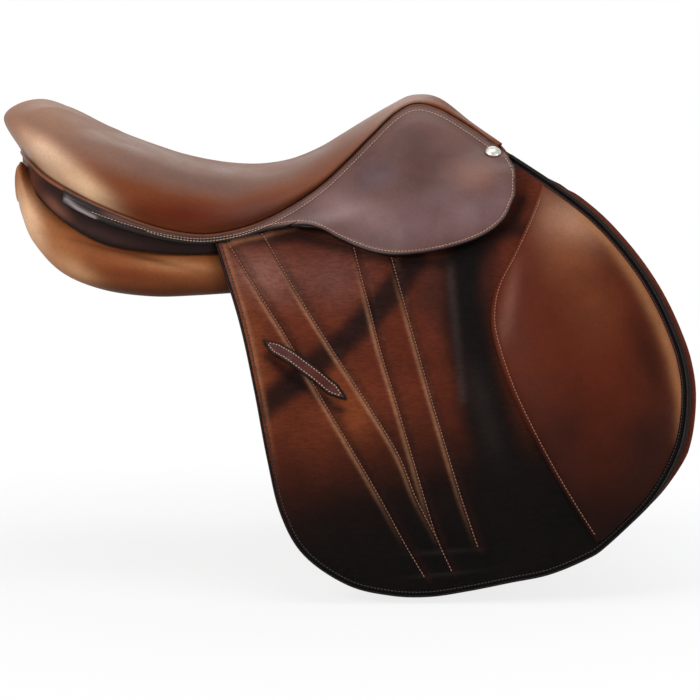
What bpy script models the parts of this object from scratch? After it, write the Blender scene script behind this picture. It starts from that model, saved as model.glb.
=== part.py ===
"""Jumping saddle with a single flap on each side, padded panels and a sprung tree.

Run with: blender --background --python part.py
The saddle stands as on a horse's back: +X towards the pommel, +Z up, -Y its right side.
The origin is on the middle plane, below the deepest point of the seat, level with the
lowest part of the rear panels. Dimensions are in millimetres; MM turns them into metres.
"""

import math

import bmesh
import bpy
import numpy as np
from mathutils import Matrix, Vector

MM = 0.001
GAP = 0.4

# Leather and padding thicknesses
COVER = 2.0
SKIRT_LEATHER = 3.5
FLAP_LEATHER = 3.0
LINING_LEATHER = 2.0
STRAP_LEATHER = 3.2
FACING_LEATHER = 2.4
WEB_THICKNESS = 1.5

# The side of the saddle: it hangs from the welt and flares out to the flap's foot
FOOT_HALF_WIDTH = 208.0
FOOT_HEIGHT = -260.0
FLARE = 1.7

# How far the skirt stands off the flap, and how much further over the stirrup bar
SKIRT_STANDOFF = 6.0
BAR_BULGE = 10.0

# The welt, where the seat and the skirts meet: x, half width, height
WELT = [
    (-217, 0, 125.5),
    (-212, 30, 124),
    (-203, 60, 118.5),
    (-186, 91, 107),
    (-166, 109, 96),
    (-139, 121, 83),
    (-108, 125, 70),
    (-78, 121, 60),
    (-47, 113, 55),
    (-21, 105, 57.5),
    (5, 95, 65),
    (32, 85, 78),
    (59, 76, 96),
    (81, 68, 116),
    (104, 60, 139),
    (126, 53, 160),
    (145, 50, 169),
    (167, 54, 164),
    (194, 62, 148),
    (218, 72, 131),
]
WELT_RADIUS = 1.9

# Where the seat's ribs end: along the middle line, then down the pommel's front edge
SEAT_RIDGE = [
    (-140, 0, 148),
    (-139, 0, 147.5),
    (-136, 0, 146.5),
    (-130, 0, 144),
    (-120, 0, 139.5),
    (-107, 0, 134.5),
    (-90, 0, 128.5),
    (-70, 0, 122),
    (-46, 0, 116.5),
    (-21, 0, 113),
    (5, 0, 112.5),
    (32, 0, 117),
    (58, 0, 127.5),
    (80, 0, 140.5),
    (102, 0, 154),
    (123, 0, 165.5),
    (146, 0, 174),
    (169, 0, 171.5),
    (196, 38, 151),
    (222, 70, 133),
]

# Shape of a seat rib at stations from the cantle (0) to the pommel (1):
# station, bulge beyond the welt, height of the bulge, place of the shoulder, its height
SEAT_RIB_SHAPE = [
    (0.00, 15.0, 32.0, 0.72, 23.5),
    (0.11, 14.0, 31.0, 0.75, 19.0),
    (0.21, 12.0, 27.0, 0.78, 5.0),
    (0.32, 8.0, 22.0, 0.73, -4.0),
    (0.42, 5.0, 19.0, 0.68, -11.0),
    (0.53, 3.0, 13.0, 0.62, -11.0),
    (0.63, 2.0, 9.0, 0.60, -7.0),
    (0.74, 1.5, 5.0, 0.55, -2.0),
    (0.84, 1.0, 2.5, 0.50, 1.5),
    (0.95, 0.6, 2.0, 0.50, -1.0),
    (1.00, 0.3, 0.6, 0.50, 0.0),
]
SEAT_RIBS = 24
SEAT_RIB_POINTS = 9
FOAM_RIBS = 17
FOAM_THICK = 11.0
FOAM_THIN = 3.0
FOAM_CLEARANCE = 2.0

# Skirt: its lower edge from the tail, round the front lobe, up to the nail (x, z)
SKIRT_LOWER = [
    (-168, 83),
    (-139, 70),
    (-108, 59.5),
    (-77, 51),
    (-47, 47),
    (-16, 50),
    (10, 57),
    (41, 62),
    (59, 59),
    (77, 50),
    (103, 40),
    (129, 37),
    (164, 41.5),
    (199, 52),
    (221, 67),
    (232, 88),
]
SKIRT_NAIL_CORNER = (222, 128)
SKIRT_WELT_DROP = 3.0
# The line the skirt's lobe folds along, straight in space
FOLD_REAR = (36.0, 63.7)
FOLD_FRONT = (233.0, 114.0)
FOLD_HALF_WIDTH = 102.5
FOLD_GAP = 2.6

# The line each flap lifts about, outside the leather: x, half width, height
FLAP_AXIS = ((-33.0, 120.0, 46.0), (233.0, 108.0, 114.0))
LOBE_AXIS_OUT = 2.6

# Flap: top edge (under the skirt), then the rear edge, foot and front edge (x, z)
FLAP_TOP = [
    (-33, 48),
    (0, 54.5),
    (40, 65),
    (80, 71),
    (120, 71),
    (170, 69),
    (206, 71),
    (221, 83),
    (226, 102),
    (228, 121),
]
FLAP_REAR = [(-33, 48), (-11, -18), (3, -76), (15, -135), (27, -182), (47, -216)]
FLAP_FOOT = [
    (47, -216),
    (84, -241),
    (121, -250),
    (154, -251),
    (188, -246),
    (223, -239),
    (257, -232),
    (289, -219),
    (306, -208),
]
FLAP_FRONT = [
    (306, -208),
    (341, -175),
    (360, -148),
    (373, -118),
    (378, -82),
    (375, -53),
    (367, -28),
    (356, -3),
    (342, 21),
    (323, 46),
    (300, 70),
    (266, 96),
    (228, 121),
]
LINING_PROUD = 6.0
LINING_GAP = 1.1
BINDING_RADIUS = 2.2
BINDING_GAP = 0.7

# Knee pad on the flap: its sewn rear edge, and how far it stays inside the flap's edge
KNEE_SEAM = [
    (257, 97),
    (247, 72),
    (230, 38),
    (214, 9),
    (209, -17),
    (213, -42),
    (228, -84),
    (254, -135),
    (279, -177),
    (298, -206),
]
KNEE_EDGE_INSET = 4.5
KNEE_RISE = 17.0

# Stitched channels on the flap over each girth strap: rear line and front line (x, z)
REAR_CHANNEL = (
    [(-15, 37), (8, -1), (33, -39), (61, -85), (87, -127), (112, -169), (133, -205)],
    [(14, 43), (37, 6), (68, -41), (98, -85), (127, -131), (143, -169), (156, -197)],
)
FRONT_CHANNEL = (
    [(91, 35), (96, 17), (103, -9), (113, -47), (125, -85), (137, -127), (150, -169), (163, -205)],
    [(122, 31), (132, 0), (144, -42), (156, -84), (169, -127), (182, -169), (194, -205)],
)
CHANNEL_RISE = 2.2

# Girth straps hang inside the flap: middle lines (x, z), and where they bend to hang
STRAP_WIDTH = 25.0
REAR_STRAP_LINE = [(0, 42), (20, 2), (48, -42), (79, -85), (107, -128), (130, -169), (146, -203), (160, -236)]
FRONT_STRAP_LINE = [(108, 52), (115, 8), (127, -36), (142, -85), (154, -128), (167, -169), (179, -203), (190, -236)]
STRAP_BEND_Z = -6.0
STRAP_CLEARANCE = 1.4
STRAP_HOLES = 5
STRAP_HOLE_PITCH = 22.0
STRAP_HOLE_RADIUS = 2.2

# Keeper for the spare end of the stirrup leather, sewn across the flap (x, z)
KEEPER_ENDS = ((10, -37), (82, -86))
KEEPER_WIDTH = 11.0
KEEPER_THICKNESS = 2.5
KEEPER_RISE = 8.5

# Nail that holds the skirt and the seat to the tree's point
NAIL_PLACE = (213.0, 124.5)
NAIL_HEAD_RADIUS = 7.5
NAIL_HEAD_RISE = 4.0
NAIL_SHANK_RADIUS = 1.5

# Stirrup bar and its safety catch, seen from above: x along the bar, y outwards
BAR_PLATE = (83.5, 86.5)
BAR_ARM = (93.0, 99.5)
BAR_EAR = (93.0, 95.2)
BAR_FRONT_X = 214.0
BAR_ROOT_X = 201.0
BAR_ARM_END_X = 162.0
BAR_END_X = 150.0
BAR_Z = 84.0
BAR_DEPTH = 14.0
CATCH_Y = (95.6, 98.0)
CATCH_PIN = (156.0, 84.0)
CATCH_LENGTH = 13.5
CATCH_HEIGHT = 7.5
PIN_RADIUS = 1.5

# Panel ribs: x, then the inner, middle and outer points of its middle line (out, z), thickness
PANEL_RIBS = [
    (-217, (54, 89), (64, 87), (74, 84), 14),
    (-212, (45, 92), (64, 86), (86, 78), 34),
    (-199, (37, 84), (68, 74), (100, 58), 44),
    (-172, (34, 66), (73, 51), (112, 34), 53),
    (-135, (32, 50), (76, 38), (121, 21), 57),
    (-91, (31, 41), (78, 30), (121, 13.5), 54),
    (-47, (30, 38), (78, 28.5), (115, 11.5), 50),
    (0, (30, 42), (74, 27), (105, 6), 32),
    (50, (30, 56), (72, 30), (103, -2), 25),
    (100, (31, 72), (72, 35), (103, -4), 23),
    (150, (34, 90), (74, 43), (102, -4), 22),
    (195, (40, 96), (71, 48), (110, -24), 17),
    (226, (52, 90), (75, 50), (110, -16), 14),
    (238, (66, 70), (80, 44), (100, 6), 7),
]
PANEL_RIB_POINTS = 14

# Facing: the leather band under the cantle, from the welt down to the panels (x, out, z)
FACING_FOOT = [
    (-214, 0, 112),
    (-212, 35, 110),
    (-207, 62, 105),
    (-197, 84, 91),
    (-171, 107.5, 68),
    (-135, 119, 48),
    (-91, 122, 40),
    (-47, 113, 37),
]

# Front facing: from the seat's front edge in over the gullet arch (x, out, z)
POMMEL_OUTER = [(170, 0, 167.8), (197, 38, 147.4), (221, 66, 131), (229, 75, 119)]
POMMEL_INNER = [(180, 0, 147), (197, 26, 131), (219, 50, 105), (232, 62, 94)]

# Gullet arch: middle line from the point up to the crown (x, out, z)
HEAD_ARCH = [(203, 99, 34), (200, 80, 72), (190, 61, 108), (169, 36, 140), (150, 0, 157)]
HEAD_WIDTH = 30.0
HEAD_THICKNESS = 7.0
PLATE_THICKNESS = 2.5

# Tree: a closed loop of laminated wood, from the cantle round to the head (x, out, z, width)
TREE_LOOP = [
    (-186, 0, 137, 40),
    (-180, 38, 133, 40),
    (-162, 72, 119, 38),
    (-132, 90, 95, 34),
    (-95, 92, 76, 28),
    (-50, 84, 67, 22),
    (0, 68, 72, 18),
    (50, 52, 91, 18),
    (92, 42, 118, 18),
    (120, 34, 133, 18),
    (135, 18, 138, 18),
    (139, 0, 139, 18),
]
TREE_THICKNESS = 9.0

TAN = (0.36, 0.16, 0.065)
BROWN = (0.17, 0.06, 0.03)
SEAT_BROWN = (0.24, 0.12, 0.08)
SKIRT_BROWN = (0.13, 0.065, 0.05)
BLACK = (0.025, 0.018, 0.015)
STEEL = (0.62, 0.61, 0.58)
WOOD = (0.55, 0.38, 0.2)
WEB = (0.75, 0.72, 0.62)
FOAM = (0.86, 0.8, 0.6)


def clear_scene():
    """Leave an empty file to build in."""
    for old in list(bpy.data.objects):
        bpy.data.objects.remove(old)


def new_collection(name):
    collection = bpy.data.collections.new(name)
    bpy.context.scene.collection.children.link(collection)
    return collection


def material(name, colour, roughness, metallic=0.0):
    made = bpy.data.materials.new(name)
    made.use_nodes = True
    shader = made.node_tree.nodes["Principled BSDF"]
    shader.inputs["Base Color"].default_value = (*colour, 1.0)
    shader.inputs["Roughness"].default_value = roughness
    shader.inputs["Metallic"].default_value = metallic
    return made


def smooth_curve(points, fine=24):
    """A smooth curve through the points, with the same number of steps between each two."""
    p = np.array(points, float)
    q = np.vstack([2 * p[0] - p[1], p, 2 * p[-1] - p[-2]])
    t = np.linspace(0, 1, fine, endpoint=False)[:, None]
    pieces = []
    for a, b, c, d in zip(q[:-3], q[1:-2], q[2:-1], q[3:]):
        bend = (2 * a - 5 * b + 4 * c - d) * t**2 + (3 * b - a - 3 * c + d) * t**3
        pieces.append(0.5 * (2 * b + (c - a) * t + bend))
    return np.vstack([*pieces, p[-1:]])


def curve_points(points, count):
    """Count points, evenly spaced, on a smooth curve through the given points."""
    fine = smooth_curve(points)
    reach = np.concatenate([[0], np.cumsum(np.linalg.norm(np.diff(fine, axis=0), axis=1))])
    wanted = np.linspace(0, reach[-1], count)
    return np.column_stack([np.interp(wanted, reach, fine[:, k]) for k in range(fine.shape[1])])


def matched_points(points, guide, count):
    """Points on a curve, spaced as evenly spaced points on its guide fall between the knots."""
    steps = 24
    fine_guide = smooth_curve(guide, steps)
    reach = np.concatenate([[0], np.cumsum(np.linalg.norm(np.diff(fine_guide, axis=0), axis=1))])
    fine = smooth_curve(points, steps)
    wanted = np.linspace(0, reach[-1], count)
    return np.column_stack([np.interp(wanted, reach, fine[:, k]) for k in range(fine.shape[1])])


WELT_FINE = curve_points(WELT, 300)
WELT_SIDE = WELT_FINE[WELT_FINE[:, 0] > -170]


def side(x, z):
    """Half width of the flap's middle surface at x and height z."""
    half_width = np.interp(x, WELT_SIDE[:, 0], WELT_SIDE[:, 1])
    height = np.interp(x, WELT_SIDE[:, 0], WELT_SIDE[:, 2])
    depth = np.clip((height - z) / (height - FOOT_HEIGHT), 0, 1)
    return half_width + (FOOT_HALF_WIDTH - half_width) * (1 - (1 - depth) ** FLARE)


def fold_height(x):
    slope = (FOLD_FRONT[1] - FOLD_REAR[1]) / (FOLD_FRONT[0] - FOLD_REAR[0])
    return FOLD_REAR[1] + slope * (x - FOLD_REAR[0])


def free_skirt_side(x, z):
    """Half width of the skirt's middle surface as it swells over the stirrup bar."""
    bar = np.exp(-(((x - 172) / 48) ** 2) - (((z - 86) / 34) ** 2))
    front = 4.0 * np.clip((x - 205) / 27, 0, 1) * np.clip((128 - z) / 20, 0, 1)
    return side(x, z) + SKIRT_STANDOFF + BAR_BULGE * bar + front


def skirt_side(x, z):
    """The same, drawn to a straight line where the lobe folds."""
    fold = fold_height(x)
    pull = FOLD_HALF_WIDTH - free_skirt_side(x, fold)
    near = np.exp(-(((z - fold) / 20) ** 2)) * np.clip((x - 5) / 40, 0, 1)
    before_nail = np.clip((133 - z) / 12, 0, 1)
    return free_skirt_side(x, z) + pull * near * before_nail


def on_surface(flat, out=0.0, surface=side):
    """Points on the saddle's right from (x, z) pairs, moved out along the surface's normal."""
    flat = np.array(flat, float)
    x, z = flat[:, 0], flat[:, 1]
    step = 0.5
    along = (surface(x + step, z) - surface(x - step, z)) / (2 * step)
    down = (surface(x, z + step) - surface(x, z - step)) / (2 * step)
    normal = -np.column_stack([along, np.ones_like(x), down])
    normal /= np.linalg.norm(normal, axis=1)[:, None]
    out = np.broadcast_to(out, x.shape)
    return np.column_stack([x, -surface(x, z), z]) + normal * out[:, None]


def surface_normal(x, z, surface=side):
    near = on_surface([(x, z)], 0.0, surface)[0]
    far = on_surface([(x, z)], 1.0, surface)[0]
    return far - near


def add_mesh(name, points, faces, finish):
    """An object from points in millimetres, doubled points merged, faces turned outwards."""
    mesh = bpy.data.meshes.new(name)
    mesh.from_pydata([tuple(float(c) * MM for c in p) for p in points], [], faces)
    edit = bmesh.new()
    edit.from_mesh(mesh)
    bmesh.ops.remove_doubles(edit, verts=edit.verts, dist=0.02 * MM)
    bmesh.ops.dissolve_degenerate(edit, edges=edit.edges, dist=0.02 * MM)
    bmesh.ops.recalc_face_normals(edit, faces=edit.faces)
    edit.to_mesh(mesh)
    edit.free()
    mesh.shade_smooth()
    mesh.materials.append(finish)
    made = bpy.data.objects.new(name, mesh)
    PARTS.objects.link(made)
    return made


def grid_faces(rows, columns, closed=False):
    """Faces of a grid of points stored row by row; closed joins the last column to the first."""
    faces = []
    for r in range(rows - 1):
        for c in range(columns if closed else columns - 1):
            after = (c + 1) % columns
            first, second = r * columns, (r + 1) * columns
            faces.append((first + c, first + after, second + after, second + c))
    return faces


def loft(name, sections, finish):
    """A closed solid through sections of equal point count, capped at both ends."""
    rows, columns = len(sections), len(sections[0])
    faces = grid_faces(rows, columns, closed=True)
    faces.append(tuple(range(columns)))
    faces.append(tuple((rows - 1) * columns + c for c in range(columns)))
    return add_mesh(name, np.vstack(sections), faces, finish)


def sheet(name, points, rows, columns, thickness, finish):
    """A leather sheet of even thickness about a grid of points."""
    made = add_mesh(name, points, grid_faces(rows, columns), finish)
    shell = made.modifiers.new("thickness", "SOLIDIFY")
    shell.thickness = thickness * MM
    shell.offset = 0.0
    shell.use_even_offset = True
    return made


def slab(name, one, other, rows, columns, finish):
    """A closed solid between two grids of points of the same layout."""
    count = rows * columns
    faces = grid_faces(rows, columns)
    faces += [tuple(i + count for i in face) for face in grid_faces(rows, columns)]
    rim = [c for c in range(columns)]
    rim += [r * columns + columns - 1 for r in range(1, rows)]
    rim += [(rows - 1) * columns + c for c in range(columns - 2, -1, -1)]
    rim += [r * columns for r in range(rows - 2, 0, -1)]
    for a, b in zip(rim, rim[1:] + rim[:1]):
        faces.append((a, b, b + count, a + count))
    return add_mesh(name, np.vstack([one, other]), faces, finish)


def patch(top, bottom, rear, front, across, down):
    """A grid over the area inside four edges that meet at their ends."""
    top, bottom = curve_points(top, across), curve_points(bottom, across)
    rear, front = curve_points(rear, down), curve_points(front, down)
    u = np.linspace(0, 1, across)[:, None]
    grid = []
    for k, v in enumerate(np.linspace(0, 1, down)):
        ruled = (1 - v) * top + v * bottom + (1 - u) * rear[k] + u * front[k]
        corners = (1 - u) * ((1 - v) * top[0] + v * bottom[0]) + u * ((1 - v) * top[-1] + v * bottom[-1])
        grid.append(ruled - corners)
    return np.vstack(grid)


def offset_flat(line, distance):
    """A line in the (x, z) plane moved sideways, to the left of its direction."""
    line = np.array(line, float)
    along = np.gradient(line, axis=0)
    along /= np.linalg.norm(along, axis=1)[:, None]
    return line + np.column_stack([-along[:, 1], along[:, 0]]) * distance


def cord(name, path, radius, finish):
    """A round cord along a path."""
    data = bpy.data.curves.new(name, "CURVE")
    data.dimensions = "3D"
    data.bevel_depth = radius * MM
    data.bevel_resolution = 1
    data.use_fill_caps = True
    data.materials.append(finish)
    spline = data.splines.new("POLY")
    spline.points.add(len(path) - 1)
    for point, place in zip(spline.points, path):
        point.co = (*[float(c) * MM for c in place], 1)
    made = bpy.data.objects.new(name, data)
    PARTS.objects.link(made)
    return made


def plate(name, outline, thickness, place, upright, finish):
    """A flat piece over a closed outline, level or standing along X, as a mesh."""
    data = bpy.data.curves.new(name, "CURVE")
    data.dimensions = "2D"
    data.fill_mode = "BOTH"
    data.extrude = thickness / 2 * MM
    spline = data.splines.new("POLY")
    spline.points.add(len(outline) - 1)
    for point, (a, b) in zip(spline.points, outline):
        point.co = (float(a) * MM, float(b) * MM, 0, 1)
    spline.use_cyclic_u = True
    shape = bpy.data.objects.new(name + " outline", data)
    PARTS.objects.link(shape)
    shape.location = [float(c) * MM for c in place]
    shape.rotation_euler.x = math.pi / 2 if upright else 0
    graph = bpy.context.evaluated_depsgraph_get()
    mesh = bpy.data.meshes.new_from_object(shape.evaluated_get(graph))
    edit = bmesh.new()
    edit.from_mesh(mesh)
    bmesh.ops.remove_doubles(edit, verts=edit.verts, dist=0.01 * MM)
    edit.to_mesh(mesh)
    edit.free()
    mesh.name = name
    mesh.materials.clear()
    mesh.materials.append(finish)
    made = bpy.data.objects.new(name, mesh)
    PARTS.objects.link(made)
    made.matrix_world = shape.matrix_world
    bpy.data.objects.remove(shape)
    return made


def turned(name, profile, place, direction, finish, steps=14):
    """A turned piece; profile pairs are (radius, height), from its top down the outer side."""
    mesh = bpy.data.meshes.new(name)
    edges = [(k, k + 1) for k in range(len(profile) - 1)]
    mesh.from_pydata([(r * MM, 0, h * MM) for r, h in profile], edges, [])
    mesh.materials.append(finish)
    made = bpy.data.objects.new(name, mesh)
    PARTS.objects.link(made)
    turn = made.modifiers.new("turn", "SCREW")
    turn.steps = steps
    turn.render_steps = steps
    turn.use_merge_vertices = True
    turn.merge_threshold = 0.00001
    made.location = [float(c) * MM for c in place]
    made.rotation_euler = Vector(direction).to_track_quat("Z", "Y").to_euler()
    return made


def drill(made, place, direction, radius, depth, segments=12):
    """Cut a round hole right through a piece."""
    mesh = bpy.data.meshes.new("drill")
    edit = bmesh.new()
    bmesh.ops.create_cone(
        edit, cap_ends=True, segments=segments, radius1=radius * MM, radius2=radius * MM, depth=depth * MM
    )
    edit.to_mesh(mesh)
    edit.free()
    cutter = bpy.data.objects.new("drill", mesh)
    CUTTERS.objects.link(cutter)
    cutter.location = [float(c) * MM for c in place]
    cutter.rotation_euler = Vector(direction).to_track_quat("Z", "Y").to_euler()
    cutter.hide_render = True
    cutter.display_type = "WIRE"
    hole = made.modifiers.new("hole", "BOOLEAN")
    hole.operation = "DIFFERENCE"
    hole.solver = "EXACT"
    hole.object = cutter


def strip_frame(path, outward, ring=False):
    """Unit vectors across a strip and up from its broad side, at each point of its path."""
    if ring:
        along = np.roll(path, -1, axis=0) - np.roll(path, 1, axis=0)
    else:
        along = np.gradient(path, axis=0)
    across = np.cross(along, np.broadcast_to(np.array(outward, float), path.shape))
    across /= np.linalg.norm(across, axis=1)[:, None]
    up = np.cross(across, along)
    up /= np.linalg.norm(up, axis=1)[:, None]
    return across, up


def strip(name, path, outward, width, thickness, finish, ring=False, lift=0.0):
    """A flat strip along a path, raised by lift; outward is where its broad side faces."""
    path = np.array(path, float)
    across, up = strip_frame(path, outward, ring)
    across = across * np.broadcast_to(width, len(path))[:, None] / 2
    grid = np.stack([path + up * lift - across, path + up * lift + across], axis=1).reshape(-1, 3)
    rows = len(path)
    if ring:
        grid = np.vstack([grid, grid[:2]])
        rows += 1
    return sheet(name, grid, rows, 2, thickness, finish)


def set_origin(made, place):
    """Move the object's origin to a place in millimetres and leave its shape where it is."""
    place = Vector([float(c) * MM for c in place])
    made.data.transform(Matrix.Translation(-place) @ made.matrix_basis)
    made.matrix_basis = Matrix.Translation(place)
    return made


def apply_modifiers(made):
    """Make the object's mesh what its modifiers give."""
    graph = bpy.context.evaluated_depsgraph_get()
    baked = bpy.data.meshes.new_from_object(made.evaluated_get(graph))
    baked.set_sharp_from_angle(angle=math.radians(35))
    made.modifiers.clear()
    made.data = baked
    return made


def copy_left(right):
    """The matching piece on the saddle's left, with its own mirrored shape."""
    left = right.copy()
    left.data = right.data.copy()
    left.name = right.name.replace("_right", "_left")
    left.data.name = left.name
    origin = Vector((right.location.x, -right.location.y, right.location.z))
    mirror = Matrix.Diagonal((1, -1, 1, 1))
    left.data.transform(Matrix.Translation(-origin) @ mirror @ right.matrix_basis)
    left.matrix_basis = Matrix.Translation(origin)
    if left.type == "MESH":
        left.data.flip_normals()
    PARTS.objects.link(left)
    return left


def seat_grid():
    """Points of the seat's right half, rib by rib from the cantle to the pommel."""
    starts = curve_points(WELT, SEAT_RIBS)
    ends = matched_points(SEAT_RIDGE, WELT, SEAT_RIBS)
    shape = np.array(SEAT_RIB_SHAPE)
    places = (np.linspace(0, 1, SEAT_RIB_POINTS) ** 1.5 * 120).round().astype(int)
    grid = []
    for n, (start, end) in enumerate(zip(starts, ends)):
        station = n / (SEAT_RIBS - 1)
        bulge, rise, shoulder, height = [np.interp(station, shape[:, 0], shape[:, k]) for k in range(1, 5)]
        across = start[:2] - end[:2]
        outward = across / np.linalg.norm(across)
        knots = [
            start,
            [*(start[:2] + outward * bulge), start[2] + rise],
            [*(end[:2] + across * shoulder), end[2] + height],
            end,
        ]
        grid.append(curve_points(knots, 121)[places])
    points = np.vstack(grid)
    points[:, 1] *= -1
    return points


def grid_normals(points, rows, columns):
    """Unit normals of a grid of points, from the differences along it and across it."""
    grid = points.reshape(rows, columns, 3)
    normal = np.cross(np.gradient(grid, axis=0), np.gradient(grid, axis=1))
    return (normal / np.linalg.norm(normal, axis=2)[:, :, None]).reshape(-1, 3)


def build_seat(leather, black, foam):
    """The seat's leather cover, the foam under it and the welt round its edge."""
    points = seat_grid()
    cover = add_mesh("seat_cover", points, grid_faces(SEAT_RIBS, SEAT_RIB_POINTS), leather)
    mirror = cover.modifiers.new("left half", "MIRROR")
    mirror.use_axis = (False, True, False)
    mirror.use_clip = True
    mirror.merge_threshold = 0.0001
    shell = cover.modifiers.new("thickness", "SOLIDIFY")
    shell.thickness = COVER * MM
    shell.offset = 0.0
    shell.use_even_offset = True

    right = points.reshape(SEAT_RIBS, SEAT_RIB_POINTS, 3)[1:FOAM_RIBS]
    right = right[:, 3:]
    left = right[:, -2::-1] * [1, -1, 1]
    whole = np.concatenate([right, left], axis=1)
    rows, columns = whole.shape[:2]
    whole = whole.reshape(-1, 3)
    normals = grid_normals(whole, rows, columns)
    if normals[len(normals) // 2][2] < 0:
        normals = -normals
    place = np.linspace(-1, 1, columns)
    taper = np.interp(np.linspace(0, 1, rows), [0, 0.15, 0.6, 1], [0.6, 1, 1, 0.35])
    depth = FOAM_THIN + (FOAM_THICK - FOAM_THIN) * np.outer(taper, 1 - np.abs(place) ** 2.5)
    outer = whole - normals * (COVER / 2 + FOAM_CLEARANCE)
    inner = outer - normals * depth.reshape(-1, 1)
    slab("seat_foam", outer, inner, rows, columns, foam)

    right_welt = curve_points(WELT, 42)
    outward = np.gradient(right_welt, axis=0)
    outward = np.column_stack([-outward[:, 1], outward[:, 0]])
    outward /= np.linalg.norm(outward, axis=1)[:, None]
    right_welt[:, :2] += outward * 1.2
    right_welt[:, 2] -= WELT_RADIUS + GAP + 3.1
    right_welt[0, 1] = 0
    path = np.vstack([right_welt[::-1] * [1, -1, 1], right_welt[1:]])
    cord("seat_welt", path, WELT_RADIUS, black)


def build_facings(leather, dark):
    """Leather bands under the cantle and over the front of the gullet."""
    rows = 4
    half_top = curve_points([p for p in WELT if p[0] <= -47], 17)
    half_foot = curve_points(FACING_FOOT, 17)
    half_top[:, 2] -= 2 * WELT_RADIUS + 5.0
    half_top[:, 0] += 0.8
    half_top[-1, 0] = half_foot[-1, 0]
    top = np.vstack([half_top[::-1] * [1, -1, 1], half_top[1:]])
    foot = np.vstack([half_foot[::-1] * [1, -1, 1], half_foot[1:]])
    grid = np.vstack([top + (foot - top) * s for s in np.linspace(0, 1, rows)])
    sheet("cantle_facing", grid, rows, len(top), FACING_LEATHER, dark)

    half_outer = curve_points(POMMEL_OUTER, 9)
    half_inner = curve_points(POMMEL_INNER, 9)
    outer = np.vstack([half_outer[::-1] * [1, -1, 1], half_outer[1:]])
    inner = np.vstack([half_inner[::-1] * [1, -1, 1], half_inner[1:]])
    grid = np.vstack([outer + (inner - outer) * s for s in np.linspace(0, 1, 4)])
    sheet("pommel_facing", grid, 4, len(outer), FACING_LEATHER, leather)


def build_skirts(leather, steel):
    """Skirts: an upper part sewn under the welt and a lobe that lifts; the nail at the front."""
    across, down = 32, 5
    welt = WELT_FINE[WELT_FINE[:, 0] >= -168]
    reach = np.linspace(0, 1, across)
    top_x = -168 + reach * (218 + 168)
    top = np.column_stack([top_x, np.interp(top_x, welt[:, 0], welt[:, 2]) - SKIRT_WELT_DROP])
    lower = smooth_curve(SKIRT_LOWER)
    foot_x = -168 + reach * (FOLD_FRONT[0] - 1 + 168)
    edge = np.interp(foot_x, lower[:, 0], lower[:, 1])
    fold = fold_height(foot_x) + FOLD_GAP / 2
    blend = np.clip((foot_x - 26) / 10, 0, 1)
    foot = np.column_stack([foot_x, edge * (1 - blend) + fold * blend])
    flat = np.vstack([top + (foot - top) * s for s in np.linspace(0, 1, down)])
    corner = np.array(SKIRT_NAIL_CORNER)
    side_edge = curve_points([flat[across - 1], corner, flat[-1]], down)
    for r in range(down):
        flat[r * across + across - 1] = side_edge[r]
    upper = sheet("skirt_right", on_surface(flat, 0.0, skirt_side), down, across, SKIRT_LEATHER, leather)

    fold_x = np.linspace(FOLD_REAR[0] + 3, FOLD_FRONT[0] - 1.5, 4)
    lobe_top = np.column_stack([fold_x, fold_height(fold_x) - FOLD_GAP / 2])
    lobe_foot = [(33, 61.5)] + [p for p in SKIRT_LOWER if p[0] > 50]
    lobe_rear = [lobe_top[0], lobe_foot[0]]
    lobe_front = [lobe_top[-1], (233, 101), lobe_foot[-1]]
    flat = patch(lobe_top, lobe_foot, lobe_rear, lobe_front, 19, 6)
    lobe = sheet("skirt_lobe_right", on_surface(flat, 0.0, skirt_side), 6, 19, SKIRT_LEATHER, leather)

    place = on_surface([NAIL_PLACE], 0.0, skirt_side)[0]
    out = surface_normal(*NAIL_PLACE, skirt_side)
    drill(upper, place, out, NAIL_SHANK_RADIUS + GAP, 16.0)
    apply_modifiers(upper)
    copy_left(upper)
    seat = SKIRT_LEATHER / 2 + 3 * GAP
    profile = [(0, seat + NAIL_HEAD_RISE)]
    for k in range(1, 5):
        lean = math.radians(22 * k)
        profile.append((NAIL_HEAD_RADIUS * math.sin(lean), seat + 1 + (NAIL_HEAD_RISE - 1) * math.cos(lean)))
    profile += [(NAIL_HEAD_RADIUS, seat), (NAIL_SHANK_RADIUS, seat), (NAIL_SHANK_RADIUS, -7), (0, -7)]
    turned("skirt_nail_right", profile, place, out, steel)
    turned("skirt_nail_left", profile, place * [1, -1, 1], out * [1, -1, 1], steel)

    axis_y = -(FOLD_HALF_WIDTH + LOBE_AXIS_OUT)
    set_origin(lobe, (FOLD_REAR[0], axis_y, FOLD_REAR[1]))
    copy_left(lobe)


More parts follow.
